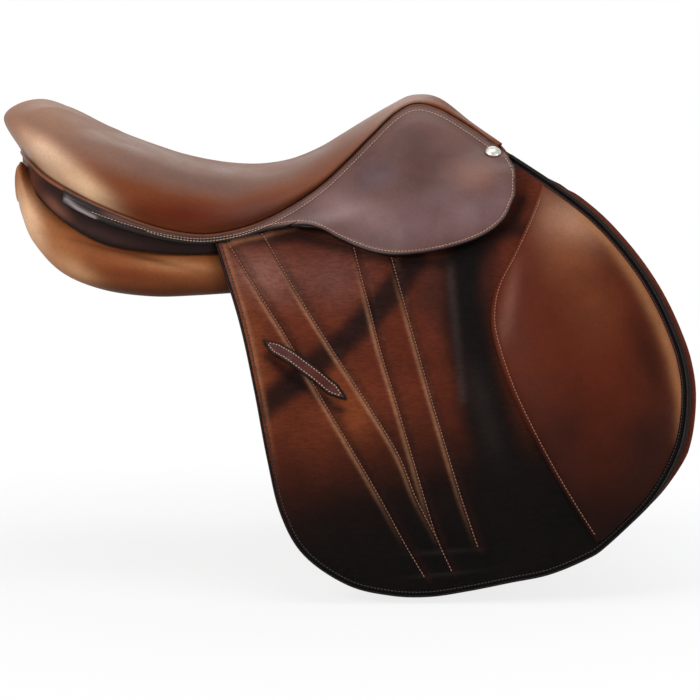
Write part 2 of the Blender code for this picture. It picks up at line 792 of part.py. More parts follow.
def build_flaps(leather, inner_leather, black):
    """Each flap with its lining, the binding on its edge, and the pads and keeper sewn to it."""
    pieces = []
    flat = patch(FLAP_TOP, FLAP_FOOT, FLAP_REAR, FLAP_FRONT[::-1], 19, 17)
    pieces.append(sheet("flap_right", on_surface(flat), 17, 19, FLAP_LEATHER, leather))

    lining_depth = FLAP_LEATHER / 2 + LINING_GAP + LINING_LEATHER / 2
    inset = 4.0
    front = offset_flat(curve_points(FLAP_FRONT, 30), 0.0)
    grow = np.interp(np.arange(30), [0, 8, 25, 28, 29], [-inset, LINING_PROUD, LINING_PROUD, 0.0, -inset])
    along = np.gradient(front, axis=0)
    along /= np.linalg.norm(along, axis=1)[:, None]
    front = front + np.column_stack([along[:, 1], -along[:, 0]]) * grow[:, None]
    rear = offset_flat(curve_points(FLAP_REAR, 16), inset)
    foot = offset_flat(curve_points(FLAP_FOOT, 16), inset)
    top = np.array(FLAP_TOP, float) - [0, 4.0]
    top[0] = rear[0]
    top[-1] = front[-1]
    foot[0] = rear[-1]
    foot[-1] = front[0]
    flat = patch(top, foot, rear, front[::-1], 14, 12)
    lining = sheet("flap_lining_right", on_surface(flat, -lining_depth), 12, 14, LINING_LEATHER, inner_leather)
    pieces.append(lining)

    sides = (FLAP_REAR, 11), (FLAP_FOOT, 13), (FLAP_FRONT, 20)
    edge = np.vstack([curve_points(line, count)[: count - 1] for line, count in sides] + [[FLAP_FRONT[-1]]])
    edge = offset_flat(edge, -(BINDING_RADIUS + BINDING_GAP))
    binding = cord("flap_binding_right", on_surface(edge), BINDING_RADIUS, black)

    pieces.append(build_knee_pad(leather))
    pieces.append(build_channel("rear_channel_right", REAR_CHANNEL, leather))
    pieces.append(build_channel("front_channel_right", FRONT_CHANNEL, leather))
    pieces.append(build_keeper(black))
    (ax, ay, az), _ = FLAP_AXIS
    for piece in [*pieces, binding]:
        set_origin(piece, (ax, -ay, az))
        copy_left(piece)


def build_knee_pad(leather):
    """A block of padding under leather, sewn on along its rear and close to the front edge."""
    rows, columns = 16, 8
    seam = curve_points(KNEE_SEAM[::-1], rows)
    front = offset_flat(curve_points(FLAP_FRONT, 60), KNEE_EDGE_INSET)
    reach = np.linalg.norm(front - seam[0], axis=1)
    first = int(np.argmin(reach[:20]))
    last = 40 + int(np.argmin(np.linalg.norm(front[40:] - seam[-1], axis=1)))
    front = curve_points(front[first : last + 1], rows)
    across = np.linspace(0, 1, columns)
    flat = np.vstack([seam[r] + (front[r] - seam[r]) * across[:, None] for r in range(rows)])
    crown = np.sin(math.pi * across**0.85) ** 0.75
    length = np.linspace(0, 1, rows)
    ends = np.clip(np.sin(math.pi * length), 0, 1) ** 0.6
    rise = 1.4 + KNEE_RISE * np.outer(ends, crown)
    seat = FLAP_LEATHER / 2 + GAP
    inner = on_surface(flat, seat)
    outer = on_surface(flat, seat + rise.reshape(-1))
    return slab("knee_pad_right", outer, inner, rows, columns, leather)


def build_channel(name, lines, leather):
    """The raised strip of leather between two stitched lines, over a girth strap."""
    rows, columns = 11, 5
    rear, front = curve_points(lines[0], rows), curve_points(lines[1], rows)
    across = np.linspace(0, 1, columns)
    seat = FLAP_LEATHER / 2 + GAP
    outer, inner = [], []
    for r in range(rows):
        flat = rear[r] + (front[r] - rear[r]) * (0.06 + 0.88 * across[:, None])
        end = min(1.0, 0.35 + 0.65 * min(r, rows - 1 - r))
        outer.append(on_surface(flat, seat + 0.5 + CHANNEL_RISE * end * np.sin(math.pi * across)))
        inner.append(on_surface(flat, seat))
    return slab(name, np.vstack(outer), np.vstack(inner), rows, columns, leather)


def build_keeper(leather):
    """A narrow strap sewn down at both ends, with room for a stirrup leather's end below."""
    steps = 17
    ends = np.array(KEEPER_ENDS, float)
    reach = np.linspace(0, 1, steps)
    flat = ends[0] + (ends[1] - ends[0]) * reach[:, None]
    seat = FLAP_LEATHER / 2 + GAP + KEEPER_THICKNESS / 2
    base = np.interp(reach, [0, 0.3, 0.5, 1], [0, 0, CHANNEL_RISE + 0.9, CHANNEL_RISE + 0.9])
    lift = KEEPER_RISE * np.clip(np.minimum(reach - 0.14, 0.86 - reach) / 0.16, 0, 1)
    path = on_surface(flat, seat + np.maximum(base, lift))
    outward = np.array([surface_normal(x, z) for x, z in flat])
    width = KEEPER_WIDTH * np.clip(0.3 + np.minimum(reach, 1 - reach) / 0.09, 0, 1)
    return strip("stirrup_leather_keeper_right", path, outward, width, KEEPER_THICKNESS, leather)


def strap_rows(line, width):
    """The two edges of a strap, row by row along its line, each row level."""
    along = np.gradient(line, axis=0)
    level = width / 2 * np.linalg.norm(along, axis=1) / np.abs(along[:, 1])
    level = level[:, None] * [1.0, 0.0]
    return line - level, line + level


def build_girth_straps(leather, web):
    """Two straps a side: each bends over the panel's edge and hangs inside the flap."""
    depth = -(FLAP_LEATHER / 2 + LINING_GAP + LINING_LEATHER + STRAP_CLEARANCE + STRAP_LEATHER / 2)
    for place, line in (("rear", REAR_STRAP_LINE), ("front", FRONT_STRAP_LINE)):
        fine = curve_points(line, 240)
        upper = curve_points(fine[fine[:, 1] > STRAP_BEND_Z], 8)
        rear, front = strap_rows(upper, STRAP_WIDTH)
        flat = np.hstack([rear, upper, front]).reshape(-1, 2)
        points = on_surface(flat, depth)
        root = sheet(f"{place}_girth_strap_root_right", points, 8, 3, STRAP_LEATHER, leather)
        copy_left(root)

        hang_y = float(points[-3:, 1].max())
        bend = float(points[-3:, 2].min())
        lower = curve_points(fine[fine[:, 1] <= bend - STRAP_LEATHER / 2], 9)
        rear, front = strap_rows(lower, STRAP_WIDTH)
        along = lower[-1] - lower[-2]
        tip = lower[-1] + along / np.linalg.norm(along) * 12
        outline = [*rear, tip - [4, 0], tip + [4, 0], *front[::-1]]
        strap = plate(f"{place}_girth_strap_right", outline, STRAP_LEATHER, (0, hang_y, 0), True, leather)
        reach = np.concatenate([[0], np.cumsum(np.linalg.norm(np.diff(lower, axis=0), axis=1))])
        for n in range(STRAP_HOLES):
            at = reach[-1] - 18 - n * STRAP_HOLE_PITCH
            x, z = [float(np.interp(at, reach, lower[:, k])) for k in (0, 1)]
            drill(strap, (x, hang_y, z), (0, 1, 0), STRAP_HOLE_RADIUS, 10.0, 8)
        apply_modifiers(strap)
        set_origin(strap, (lower[0][0], hang_y, bend))
        copy_left(strap)

        x, z = line[0]
        edge = abs(on_surface([(x, z + 13)], depth)[0][1]) - 3.0
        rail_y, rail_z, climb = rail_at(x)
        slope = np.array([1.0, 0.0, climb])
        over = rail_z + TREE_THICKNESS / 2 + 4.2
        bend = rail_y + 11
        half = [(x, 0, over), (x, rail_y, over), (x, bend, over), (x, bend + 7, over - 8), (x, edge, z + 13)]
        half = curve_points(half, 12)
        path = np.vstack([half[::-1] * [1, -1, 1], half[1:]])
        outward = np.cross(slope, np.gradient(path, axis=0))
        strip(f"{place}_girth_web", path, outward, STRAP_WIDTH, WEB_THICKNESS, web)


def rail_at(x):
    """Half width and height of the tree's rail at x, and how steeply it climbs there."""
    rail = smooth_curve(TREE_LOOP)
    half_width, height = [float(np.interp(x, rail[:, 0], rail[:, c])) for c in (1, 2)]
    ahead, behind = [float(np.interp(x + d, rail[:, 0], rail[:, 2])) for d in (10, -10)]
    return half_width, height, (ahead - behind) / 20


def build_panels(leather):
    """The two padded panels that bear on the horse's back, either side of the gullet."""
    knots = np.array([[x, *a, *b, *c, t] for x, a, b, c, t in PANEL_RIBS], float)
    ribs = curve_points(knots, 22)
    half = PANEL_RIB_POINTS // 2
    sections = []
    for x, *places, thick in ribs:
        line = curve_points(np.array(places).reshape(3, 2), 40)
        along = np.gradient(line, axis=0)
        along /= np.linalg.norm(along, axis=1)[:, None]
        normal = np.column_stack([-along[:, 1], along[:, 0]])
        section = []
        for k in range(PANEL_RIB_POINTS):
            turn = 2 * math.pi * (k + 0.5) / PANEL_RIB_POINTS
            reach = 0.5 - 0.5 * math.copysign(abs(math.cos(turn)) ** 0.8, math.cos(turn))
            lift = math.copysign(abs(math.sin(turn)) ** 0.8, math.sin(turn)) * thick / 2
            y, z = [np.interp(reach, np.linspace(0, 1, 40), line[:, c]) for c in (0, 1)]
            ny, nz = [np.interp(reach, np.linspace(0, 1, 40), normal[:, c]) for c in (0, 1)]
            section.append((x, -(y + ny * lift), z + nz * lift))
        sections.append(section)
    copy_left(loft("panel_right", sections, leather))


def build_tree(wood, steel, web):
    """The tree under the seat: a wooden loop, the gullet arch, springs and webs."""
    half = curve_points(TREE_LOOP, 22)
    left = half[1:-1][::-1] * [1, -1, 1, 1]
    loop = np.vstack([half * [1, 1, 1, 1], left])
    loop[:, 1] *= -1
    strip("tree", loop[:, :3], (0, 0, 1), loop[:, 3], TREE_THICKNESS, wood, ring=True)

    spring = half[5:-5, :3] * [1, -1, 1]
    below = -(TREE_THICKNESS / 2 + GAP + 2.9)
    copy_left(strip("spring_right", spring, (0, 0, 1), 12.0, 2.0, steel, lift=below))

    arch = curve_points(HEAD_ARCH, 18)
    whole = np.vstack([arch * [1, -1, 1], arch[:-1][::-1]])
    outward = np.cross([1.0, 0.0, 0.0], np.gradient(whole, axis=0))
    strip("gullet_arch", whole, outward, HEAD_WIDTH, HEAD_THICKNESS, wood)
    below = -(HEAD_THICKNESS / 2 + 1.2 + PLATE_THICKNESS / 2)
    strip("gullet_plate", whole[5:-5], outward[5:-5], HEAD_WIDTH - 8, PLATE_THICKNESS, steel, lift=below)

    above = TREE_THICKNESS / 2 + 2.6
    for name, x in (("rear_seat_web", -104), ("middle_seat_web", -52)):
        y, z, climb = rail_at(x)
        path = [(x, -y - 8, z), (x, 0, z), (x, y + 8, z)]
        strip(name, path, (-climb, 0, 1), 24.0, WEB_THICKNESS, web, lift=above)
    spine = [
        (134, 0, 145.4),
        (121, 0, 144.6),
        (108, 0, 140.5),
        (85, 0, 124),
        (50, 0, 103),
        (0, 0, 87),
        (-52, 0, 81),
        (-104, 0, 96),
        (-138, 0, 118),
        (-152, 0, 129.5),
        (-163.5, 0, 142.3),
        (-172, 0, 144.2),
        (-198, 0, 143.6),
    ]
    strip("lengthwise_seat_web", curve_points(spine, 24), (0, 0, 1), 34.0, WEB_THICKNESS, web)


def build_stirrup_bars(steel):
    """A bar each side that the stirrup leather hangs on, with a catch that turns up."""
    (plate_in, plate_out), (arm_in, arm_out), (ear_in, ear_out) = BAR_PLATE, BAR_ARM, BAR_EAR
    outline = [
        (BAR_END_X, plate_in),
        (BAR_FRONT_X, plate_in),
        (BAR_FRONT_X, arm_out - 3),
        (BAR_FRONT_X - 3, arm_out),
        (BAR_ARM_END_X, arm_out),
        (BAR_ARM_END_X, ear_out),
        (BAR_END_X, ear_out),
        (BAR_END_X, ear_in),
        (BAR_ROOT_X, arm_in),
        (BAR_ROOT_X, plate_out),
        (BAR_END_X, plate_out),
    ]
    outline = [(x, -y) for x, y in outline]
    bar = plate("stirrup_bar_right", outline, BAR_DEPTH, (0, 0, BAR_Z), False, steel)
    px, pz = CATCH_PIN
    drill(bar, (px, -(ear_in + ear_out) / 2, pz), (0, 1, 0), PIN_RADIUS + GAP, 6.0)
    apply_modifiers(bar)
    copy_left(bar)

    catch_in, catch_out = CATCH_Y
    middle = -(catch_in + catch_out) / 2
    half = CATCH_HEIGHT / 2
    turn = np.linspace(-math.pi / 2, math.pi / 2, 7)
    outline = [(px + half * math.cos(a), pz + half * math.sin(a)) for a in turn]
    tip = px - CATCH_LENGTH + 3
    turn = np.linspace(math.pi / 2, 3 * math.pi / 2, 5)
    outline += [(tip + (half - 1) * math.cos(a), pz + (half - 1) * math.sin(a)) for a in turn]
    catch = plate("stirrup_catch_right", outline, catch_out - catch_in, (0, middle, 0), True, steel)
    drill(catch, (px, middle, pz), (0, 1, 0), PIN_RADIUS + GAP, 6.0)
    apply_modifiers(catch)
    set_origin(catch, (px, middle, pz))
    copy_left(catch)

    length = catch_out - ear_in
    flange = PIN_RADIUS + 1
    profile = [
        (0, length + 1.5),
        (flange, length + 1.5),
        (flange, length + 0.4),
        (PIN_RADIUS, length + 0.4),
        (PIN_RADIUS, -0.4),
        (flange, -0.4),
        (flange, -1.5),
        (0, -1.5),
    ]
    turned("catch_pin_right", profile, (px, -ear_in, pz), (0, -1, 0), steel, 12)
    turned("catch_pin_left", profile, (px, ear_in, pz), (0, 1, 0), steel, 12)


def main():
    tan = material("tan leather", TAN, 0.42)
    seat_brown = material("seat leather", SEAT_BROWN, 0.38)
    brown = material("flap leather", BROWN, 0.45)
    skirt_brown = material("skirt leather", SKIRT_BROWN, 0.4)
    black = material("black leather", BLACK, 0.5)
    steel = material("steel", STEEL, 0.3, 1.0)
    wood = material("laminated wood", WOOD, 0.7)
    web = material("webbing", WEB, 0.9)
    foam = material("foam", FOAM, 0.95)
    build_seat(seat_brown, black, foam)
    build_facings(tan, black)
    build_skirts(skirt_brown, steel)
    build_flaps(brown, tan, black)
    build_girth_straps(brown, web)
    build_panels(tan)
    build_tree(wood, steel, web)
    build_stirrup_bars(steel)


clear_scene()
PARTS = new_collection("saddle")
CUTTERS = new_collection("cutters")
main()
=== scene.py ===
"""Looks for the riding saddle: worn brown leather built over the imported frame.

Lengths are in millimetres and colours are display values from 0 to 255, until a mesh or a
material is made from them. The saddle's right side (-Y) is modelled and painted first, and
its left side is the mirror image.
"""

import math

import bmesh
import bpy
import numpy as np
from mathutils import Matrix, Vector


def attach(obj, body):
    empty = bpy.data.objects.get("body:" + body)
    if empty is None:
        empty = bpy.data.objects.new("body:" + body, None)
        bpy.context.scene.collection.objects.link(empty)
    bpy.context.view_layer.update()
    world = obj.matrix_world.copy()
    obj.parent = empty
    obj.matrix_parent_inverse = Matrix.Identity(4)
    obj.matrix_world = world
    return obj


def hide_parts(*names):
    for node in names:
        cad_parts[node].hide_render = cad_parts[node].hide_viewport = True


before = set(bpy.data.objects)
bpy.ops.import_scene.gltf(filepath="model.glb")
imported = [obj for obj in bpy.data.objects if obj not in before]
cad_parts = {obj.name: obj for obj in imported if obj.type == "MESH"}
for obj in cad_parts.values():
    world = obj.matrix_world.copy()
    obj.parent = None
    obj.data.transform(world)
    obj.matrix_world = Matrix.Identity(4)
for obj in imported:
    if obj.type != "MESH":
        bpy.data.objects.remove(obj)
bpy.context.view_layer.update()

MM = 0.001
RNG = np.random.default_rng(7)

# the saddle's own lines

# Lines are (x, y, z) round the seat and the facings, and (x, z) on the side surface
FOOT_HALF_WIDTH = 208.0
FOOT_HEIGHT = -260.0
FLARE = 1.7
SKIRT_STANDOFF = 6.0
BAR_BULGE = 10.0
BAR_MIDDLE = (172, 86)
BAR_SPREAD = (48, 34)
FOLD_REAR = (36.0, 63.7)
FOLD_FRONT = (233.0, 114.0)
FOLD_HALF_WIDTH = 102.5
SEAT_LEATHER_THICK = 2.0
SKIRT_LEATHER = 3.5
FLAP_LEATHER = 3.0
BINDING_WIDTHS = (2.2, 4.4)
BINDING_HEIGHT = 4.0
LINING_DEPTH = 3.6
LINING_LEATHER = 2.0
LINING_INSET = 4.0
LINING_PROUD = 9.0
WELT = [
    (-217, 0, 125.5), (-212, 30, 124), (-203, 60, 118.5), (-186, 91, 107), (-166, 109, 96),
    (-139, 121, 83), (-108, 125, 70), (-78, 121, 60), (-47, 113, 55), (-21, 105, 57.5), (5, 95, 65),
    (32, 85, 78), (59, 76, 96), (81, 68, 116), (104, 60, 139), (126, 53, 160), (145, 50, 169),
    (167, 54, 164), (194, 62, 148), (218, 72, 131),
]
SEAT_RIDGE = [
    (-140, 0, 148), (-139, 0, 147.5), (-136, 0, 146.5), (-130, 0, 144), (-120, 0, 139.5),
    (-107, 0, 134.5), (-90, 0, 128.5), (-70, 0, 122), (-46, 0, 116.5), (-21, 0, 113), (5, 0, 112.5),
    (32, 0, 117), (58, 0, 127.5), (80, 0, 140.5), (102, 0, 154), (123, 0, 165.5), (146, 0, 174),
    (169, 0, 171.5), (196, 38, 151), (222, 70, 133),
]
# Share of the seam from the cantle, side's bulge and rise, shoulder's share and height over the ridge
SEAT_RIB_SHAPE = [
    (0.00, 15.0, 32.0, 0.72, 23.5),
    (0.11, 14.0, 31.0, 0.75, 19.0),
    (0.21, 12.0, 27.0, 0.78, 5.0),
    (0.32, 8.0, 22.0, 0.73, -4.0),
    (0.42, 5.0, 19.0, 0.68, -11.0),
    (0.53, 3.0, 13.0, 0.62, -11.0),
    (0.63, 2.0, 9.0, 0.60, -7.0),
    (0.74, 1.5, 5.0, 0.55, -2.0),
    (0.84, 1.0, 2.5, 0.50, 1.5),
    (0.95, 0.6, 2.0, 0.50, -1.0),
    (1.00, 0.3, 0.6, 0.50, 0.0),
]
SKIRT_LOWER = [
    (-168, 83), (-139, 70), (-108, 59.5), (-77, 51), (-47, 47), (-16, 50), (10, 57), (41, 62), (59, 59),
    (77, 50), (103, 40), (129, 37), (164, 41.5), (199, 52), (221, 67), (232, 88),
]
SKIRT_NAIL_CORNER = (222.0, 128.0)
SKIRT_FRONT = (233.0, 101.0)
NAIL_PLACE = (213.0, 124.5)
FLAP_TOP = [
    (-33, 48), (0, 54.5), (40, 65), (80, 71), (120, 71), (170, 69), (206, 71), (221, 83), (226, 102),
    (228, 121),
]
FLAP_REAR = [(-33, 48), (-11, -18), (3, -76), (15, -135), (27, -182), (47, -216)]
FLAP_FOOT = [
    (47, -216), (84, -241), (121, -250), (154, -251), (188, -246), (223, -239), (257, -232),
    (289, -219), (306, -208),
]
FLAP_FRONT = [
    (306, -208), (341, -175), (360, -148), (373, -118), (378, -82), (375, -53), (367, -28), (356, -3),
    (342, 21), (323, 46), (300, 70), (266, 96), (228, 121),
]
KNEE_SEAM = [
    (257, 97), (247, 72), (230, 38), (214, 9), (209, -17), (213, -42), (228, -84), (254, -135),
    (279, -177), (298, -206),
]
KNEE_EDGE_INSET = 4.5
KNEE_RISE = 17.0
CHANNEL_LINES = [
    [(-26, 51.5), (-18, 39), (8, -1), (33, -39), (61, -85),
     (87, -127), (112, -169), (133, -207), (150, -235.5)],
    [(5, 57), (13, 45), (37, 6), (68, -41), (98, -85), (127, -131), (143, -169), (161, -203)],
    [(86, 56), (90, 40), (96, 17), (103, -9), (113, -47), (125, -85),
     (137.5, -127), (150, -169), (161, -203), (173.5, -230.5)],
    [(118, 48), (123, 32), (132, 0), (144, -42), (156, -84), (169, -127), (182, -169), (196, -210)],
]
KEEPER_ENDS = ((10, -37), (82, -86))
KEEPER_WIDTH = 12.5
# Share of the strap's length that each pointed end takes
KEEPER_POINT = 0.16
KEEPER_LEATHER = 2.6
KEEPER_STITCHES_INSET = 2.7
KEEPER_RISE = 9.0
# Place along the saddle, the rib's inner, middle and outer (y, z), and its thickness
PANEL_RIBS = [
    (-213.2, (52, 99), (64, 97), (75, 92), 34),
    (-209.5, (46, 99), (64, 93), (84, 82), 47),
    (-198, (38, 86), (68, 75), (99, 58), 49),
    (-172, (34, 66), (73, 51), (112, 34), 53),
    (-135, (32, 50), (76, 38), (121, 21), 57),
    (-91, (31, 41), (78, 30), (121, 13.5), 54),
    (-47, (30, 38), (78, 28.5), (115, 11.5), 50),
    (0, (30, 42), (74, 27), (105, 6), 32),
    (50, (30, 56), (72, 30), (103, -2), 25),
    (100, (31, 72), (72, 35), (103, -4), 23),
    (150, (34, 90), (74, 43), (102, -4), 22),
    (195, (40, 96), (71, 48), (110, -24), 17),
    (226, (52, 90), (75, 50), (110, -16), 14),
    (238, (66, 70), (80, 44), (100, 6), 7),
]
FACING_FOOT = [
    (-214, 0, 112), (-212, 35, 110), (-207, 62, 105), (-197, 84, 91), (-171, 107.5, 68),
    (-135, 119, 48), (-91, 122, 40), (-47, 113, 37), (-21, 105, 42),
]
POMMEL_OUTER = [(170, 0, 170.2), (196.5, 38, 149.8), (221, 67, 132), (229, 75, 119)]
POMMEL_INNER = [(180, 0, 147), (197, 26, 131), (219, 50, 105), (232, 62, 94)]

# curves and surfaces


def smooth_curve(points, fine=24):
    """A smooth curve through the points, with the same number of steps between each two."""
    p = np.array(points, float)
    q = np.vstack([2 * p[0] - p[1], p, 2 * p[-1] - p[-2]])
    t = np.linspace(0, 1, fine, endpoint=False)[:, None]
    pieces = []
    for a, b, c, d in zip(q[:-3], q[1:-2], q[2:-1], q[3:]):
        bend = (2 * a - 5 * b + 4 * c - d) * t**2 + (3 * b - a - 3 * c + d) * t**3
        pieces.append(0.5 * (2 * b + (c - a) * t + bend))
    return np.vstack([*pieces, p[-1:]])


def along(line):
    """The distance along a line at each of its points."""
    return np.concatenate([[0], np.cumsum(np.linalg.norm(np.diff(line, axis=0), axis=1))])


def resample(line, reach, wanted):
    return np.column_stack([np.interp(wanted, reach, line[:, k]) for k in range(line.shape[1])])


def curve_at(points, share):
    """Points on a smooth curve through the given points, at shares of its length."""
    fine = smooth_curve(points)
    reach = along(fine)
    return resample(fine, reach, np.asarray(share) * reach[-1])


def headings(line):
    """Unit vectors along a line at each of its points."""
    run = np.gradient(line, axis=0)
    return run / np.linalg.norm(run, axis=1)[:, None]


def curve_points(points, count):
    return curve_at(points, np.linspace(0, 1, count))


def matched_points(points, guide, count):
    """Points on a curve, spaced as evenly spaced points on its guide fall between the knots."""
    reach = along(smooth_curve(guide))
    return resample(smooth_curve(points), reach, np.linspace(0, reach[-1], count))


def edge_shares(count, length, low=True, high=True):
    """Shares from 0 to 1, evenly spaced but close together near the ends, where edges are rounded."""
    fine = np.array([0.0, 0.12, 0.4, 0.8, 1.3]) / length
    middle = np.linspace(0, 1, count)
    keep = (middle > 2 / length if low else middle >= 0) & (middle < 1 - 2 / length if high else middle <= 1)
    return np.concatenate([fine if low else [], middle[keep], 1 - fine[::-1] if high else []])


def ramp(value, low, high):
    t = np.clip((value - low) / (high - low), 0, 1)
    return t * t * (3 - 2 * t)


WELT_FINE = curve_points(WELT, 300)
WELT_SIDE = WELT_FINE[WELT_FINE[:, 0] > -170]


def side(x, z):
    """Half width of the flap's middle surface at x and height z."""
    half_width = np.interp(x, WELT_SIDE[:, 0], WELT_SIDE[:, 1])
    height = np.interp(x, WELT_SIDE[:, 0], WELT_SIDE[:, 2])
    depth = np.clip((height - z) / (height - FOOT_HEIGHT), 0, 1)
    return half_width + (FOOT_HALF_WIDTH - half_width) * (1 - (1 - depth) ** FLARE)


def fold_height(x):
    slope = (FOLD_FRONT[1] - FOLD_REAR[1]) / (FOLD_FRONT[0] - FOLD_REAR[0])
    return FOLD_REAR[1] + slope * (x - FOLD_REAR[0])


def free_skirt_side(x, z):
    fore, up = (x - BAR_MIDDLE[0]) / BAR_SPREAD[0], (z - BAR_MIDDLE[1]) / BAR_SPREAD[1]
    bar = np.exp(-(fore**2) - (up**2))
    front = 4.0 * np.clip((x - 205) / 27, 0, 1) * np.clip((128 - z) / 20, 0, 1)
    return side(x, z) + SKIRT_STANDOFF + BAR_BULGE * bar + front


def skirt_side(x, z):
    """Half width of the skirt's middle surface: straight where its lobe folds, drawn in to the seam."""
    fold = fold_height(x)
    pull = FOLD_HALF_WIDTH - free_skirt_side(x, fold)
    near = np.exp(-(((z - fold) / 20) ** 2)) * np.clip((x - 5) / 40, 0, 1)
    out = free_skirt_side(x, z) + pull * near * np.clip((133 - z) / 12, 0, 1)
    seam = np.interp(x, WELT_SIDE[:, 0], WELT_SIDE[:, 2])
    return out - 4.2 * (1 - ramp(seam - z, 2, 18))


def slopes(flat, surface=side):
    """Outward unit normals of a side surface at (x, z) pairs."""
    x, z = flat[:, 0], flat[:, 1]
    fore = (surface(x + 1, z) - surface(x - 1, z)) / 2
    up = (surface(x, z + 1) - surface(x, z - 1)) / 2
    normal = -np.column_stack([fore, np.ones_like(x), up])
    return normal / np.linalg.norm(normal, axis=1)[:, None]


def on_surface(flat, out=0.0, surface=side):
    """Points on the saddle's right from (x, z) pairs, moved out along the surface's normal."""
    flat = np.array(flat, float)
    out = np.broadcast_to(out, len(flat))
    base = np.column_stack([flat[:, 0], -surface(flat[:, 0], flat[:, 1]), flat[:, 1]])
    return base + slopes(flat, surface) * out[:, None]


def patch(top, bottom, rear, front, u, v):
    """A grid over the area inside four edges that meet at their ends, at the given shares."""
    top, bottom = curve_at(top, u), curve_at(bottom, u)
    rear, front = curve_at(rear, v), curve_at(front, v)
    u = u[:, None]
    grid = []
    for k, s in enumerate(v):
        ruled = (1 - s) * top + s * bottom + (1 - u) * rear[k] + u * front[k]
        corners = (1 - u) * ((1 - s) * top[0] + s * bottom[0]) + u * ((1 - s) * top[-1] + s * bottom[-1])
        grid.append(ruled - corners)
    return np.vstack(grid)


def offset_flat(line, distance):
    """A line in the (x, z) plane moved sideways, to the left of its direction."""
    line = np.array(line, float)
    run = headings(line)
    return line + np.column_stack([-run[:, 1], run[:, 0]]) * np.reshape(distance, (-1, 1))


def line_distance(flat, line):
    """Signed distance of (x, z) pairs from a line, and how far along it the nearest point is."""
    line = np.array(line, float)
    reach = along(line)
    best = np.full(len(flat), 1e9)
    signed = np.zeros(len(flat))
    place = np.zeros(len(flat))
    for a, b, start in zip(line[:-1], line[1:], reach):
        run = b - a
        length = np.linalg.norm(run)
        if length == 0:
            continue
        t = np.clip(((flat - a) @ run) / length**2, 0, 1)
        gap = flat - (a + t[:, None] * run)
        far = np.linalg.norm(gap, axis=1)
        cross = run[0] * gap[:, 1] - run[1] * gap[:, 0]
        near = far < best
        best[near] = far[near]
        signed[near] = (np.sign(cross) * far)[near]
        place[near] = (start + t * length)[near]
    return signed, place


def gap_from(flat, line):
    """Distance of (x, z) pairs from a line, without its sign."""
    return np.abs(line_distance(flat, line)[0])


def bell(value, centre, width):
    """1 where the value is at the centre, fading over the width to both sides."""
    return np.exp(-(((value - centre) / width) ** 2))


# painting

# Places of spots, trails and fades are pixels of the picture that in_view describes.
# A row of spots holds a colour, its strength, centre, size (across, down) and turn.
VIEW_PIXELS = 700
VIEW_SCALE = 0.93
VIEW_RANGE = 2600.0
VIEW_TILT = math.radians(6.0)
VIEW_MIDDLE = (85.6, -60.0)


def in_view(points):
    """Where points of either side fall in a square picture taken from the saddle's right."""
    x, y, z = points[:, 0] - VIEW_MIDDLE[0], -np.abs(points[:, 1]), points[:, 2] - VIEW_MIDDLE[1]
    depth = VIEW_RANGE + y * math.cos(VIEW_TILT) - z * math.sin(VIEW_TILT)
    up = y * math.sin(VIEW_TILT) + z * math.cos(VIEW_TILT)
    scale = VIEW_RANGE / depth / VIEW_SCALE
    return VIEW_PIXELS / 2 + np.column_stack([x * scale, -up * scale])


def linear(colour):
    c = np.array(colour, float) / 255
    return np.where(c <= 0.04045, c / 12.92, ((c + 0.055) / 1.055) ** 2.4)


def spot(at, centre, size, turn=0.0):
    """A round spot: 1 at its centre, fading over size (across, down), turned clockwise."""
    a = math.radians(turn)
    dx, dy = at[:, 0] - centre[0], at[:, 1] - centre[1]
    u = (dx * math.cos(a) + dy * math.sin(a)) / size[0]
    v = (-dx * math.sin(a) + dy * math.cos(a)) / size[1]
    return np.exp(-(u * u + v * v))


def trail(at, line, width, soft=2):
    """A band along a line; a higher soft gives it harder edges."""
    signed, _ = line_distance(at, line)
    return np.exp(-(np.abs(signed / width) ** soft))


def fade_down(at, column, slope, start, end):
    """0 above a sloping band of the picture and 1 below it: start and end are its rows at the column."""
    return ramp(at[:, 1] + (at[:, 0] - column) * slope, start, end)


class Paint:
    """Colours of a piece's points, laid on in turn."""

    def __init__(self, at, base):
        self.at = at
        self.colours = np.tile(linear(base), (len(at), 1))

    def lay(self, colour, weight):
        self.colours += (linear(colour) - self.colours) * np.clip(weight, 0, 1)[:, None]
        return self

    def spots(self, rows):
        for colour, strength, centre, size, turn in rows:
            self.lay(colour, strength * spot(self.at, centre, size, turn))
        return self


# meshes


def set_tint(mesh, colours):
    layer = mesh.attributes.new("tint", "FLOAT_COLOR", "POINT")
    full = np.ones((len(mesh.vertices), 4), np.float32)
    full[:, :3] = colours
    layer.data.foreach_set("color", full.ravel())


def add_mesh(name, points, faces, material, colours=None, sharp=50):
    """A tidy closed mesh: doubled points merged, faces outwards, smooth but for sharp edges."""
    mesh = bpy.data.meshes.new(name)
    mesh.from_pydata((np.asarray(points) * MM).tolist(), [], faces)
    if colours is not None:
        set_tint(mesh, colours)
    edit = bmesh.new()
    edit.from_mesh(mesh)
    bmesh.ops.remove_doubles(edit, verts=edit.verts, dist=0.01 * MM)
    bmesh.ops.recalc_face_normals(edit, faces=edit.faces)
    edit.to_mesh(mesh)
    edit.free()
    mesh.shade_smooth()
    mesh.set_sharp_from_angle(angle=math.radians(sharp))
    mesh.materials.append(material)
    made = bpy.data.objects.new(name, mesh)
    bpy.context.scene.collection.objects.link(made)
    return made


def grid_faces(rows, columns, closed=False):
    faces = []
    for r in range(rows - 1):
        for c in range(columns if closed else columns - 1):
            after = (c + 1) % columns
            low, high = r * columns, (r + 1) * columns
            faces.append((low + c, low + after, high + after, high + c))
    return faces


def ring_faces(rings, around):
    """Faces of a closed form made of rings of points, with both ends capped."""
    faces = grid_faces(rings, around, closed=True)
    return faces + [tuple(range(around))[::-1], tuple(range((rings - 1) * around, rings * around))]


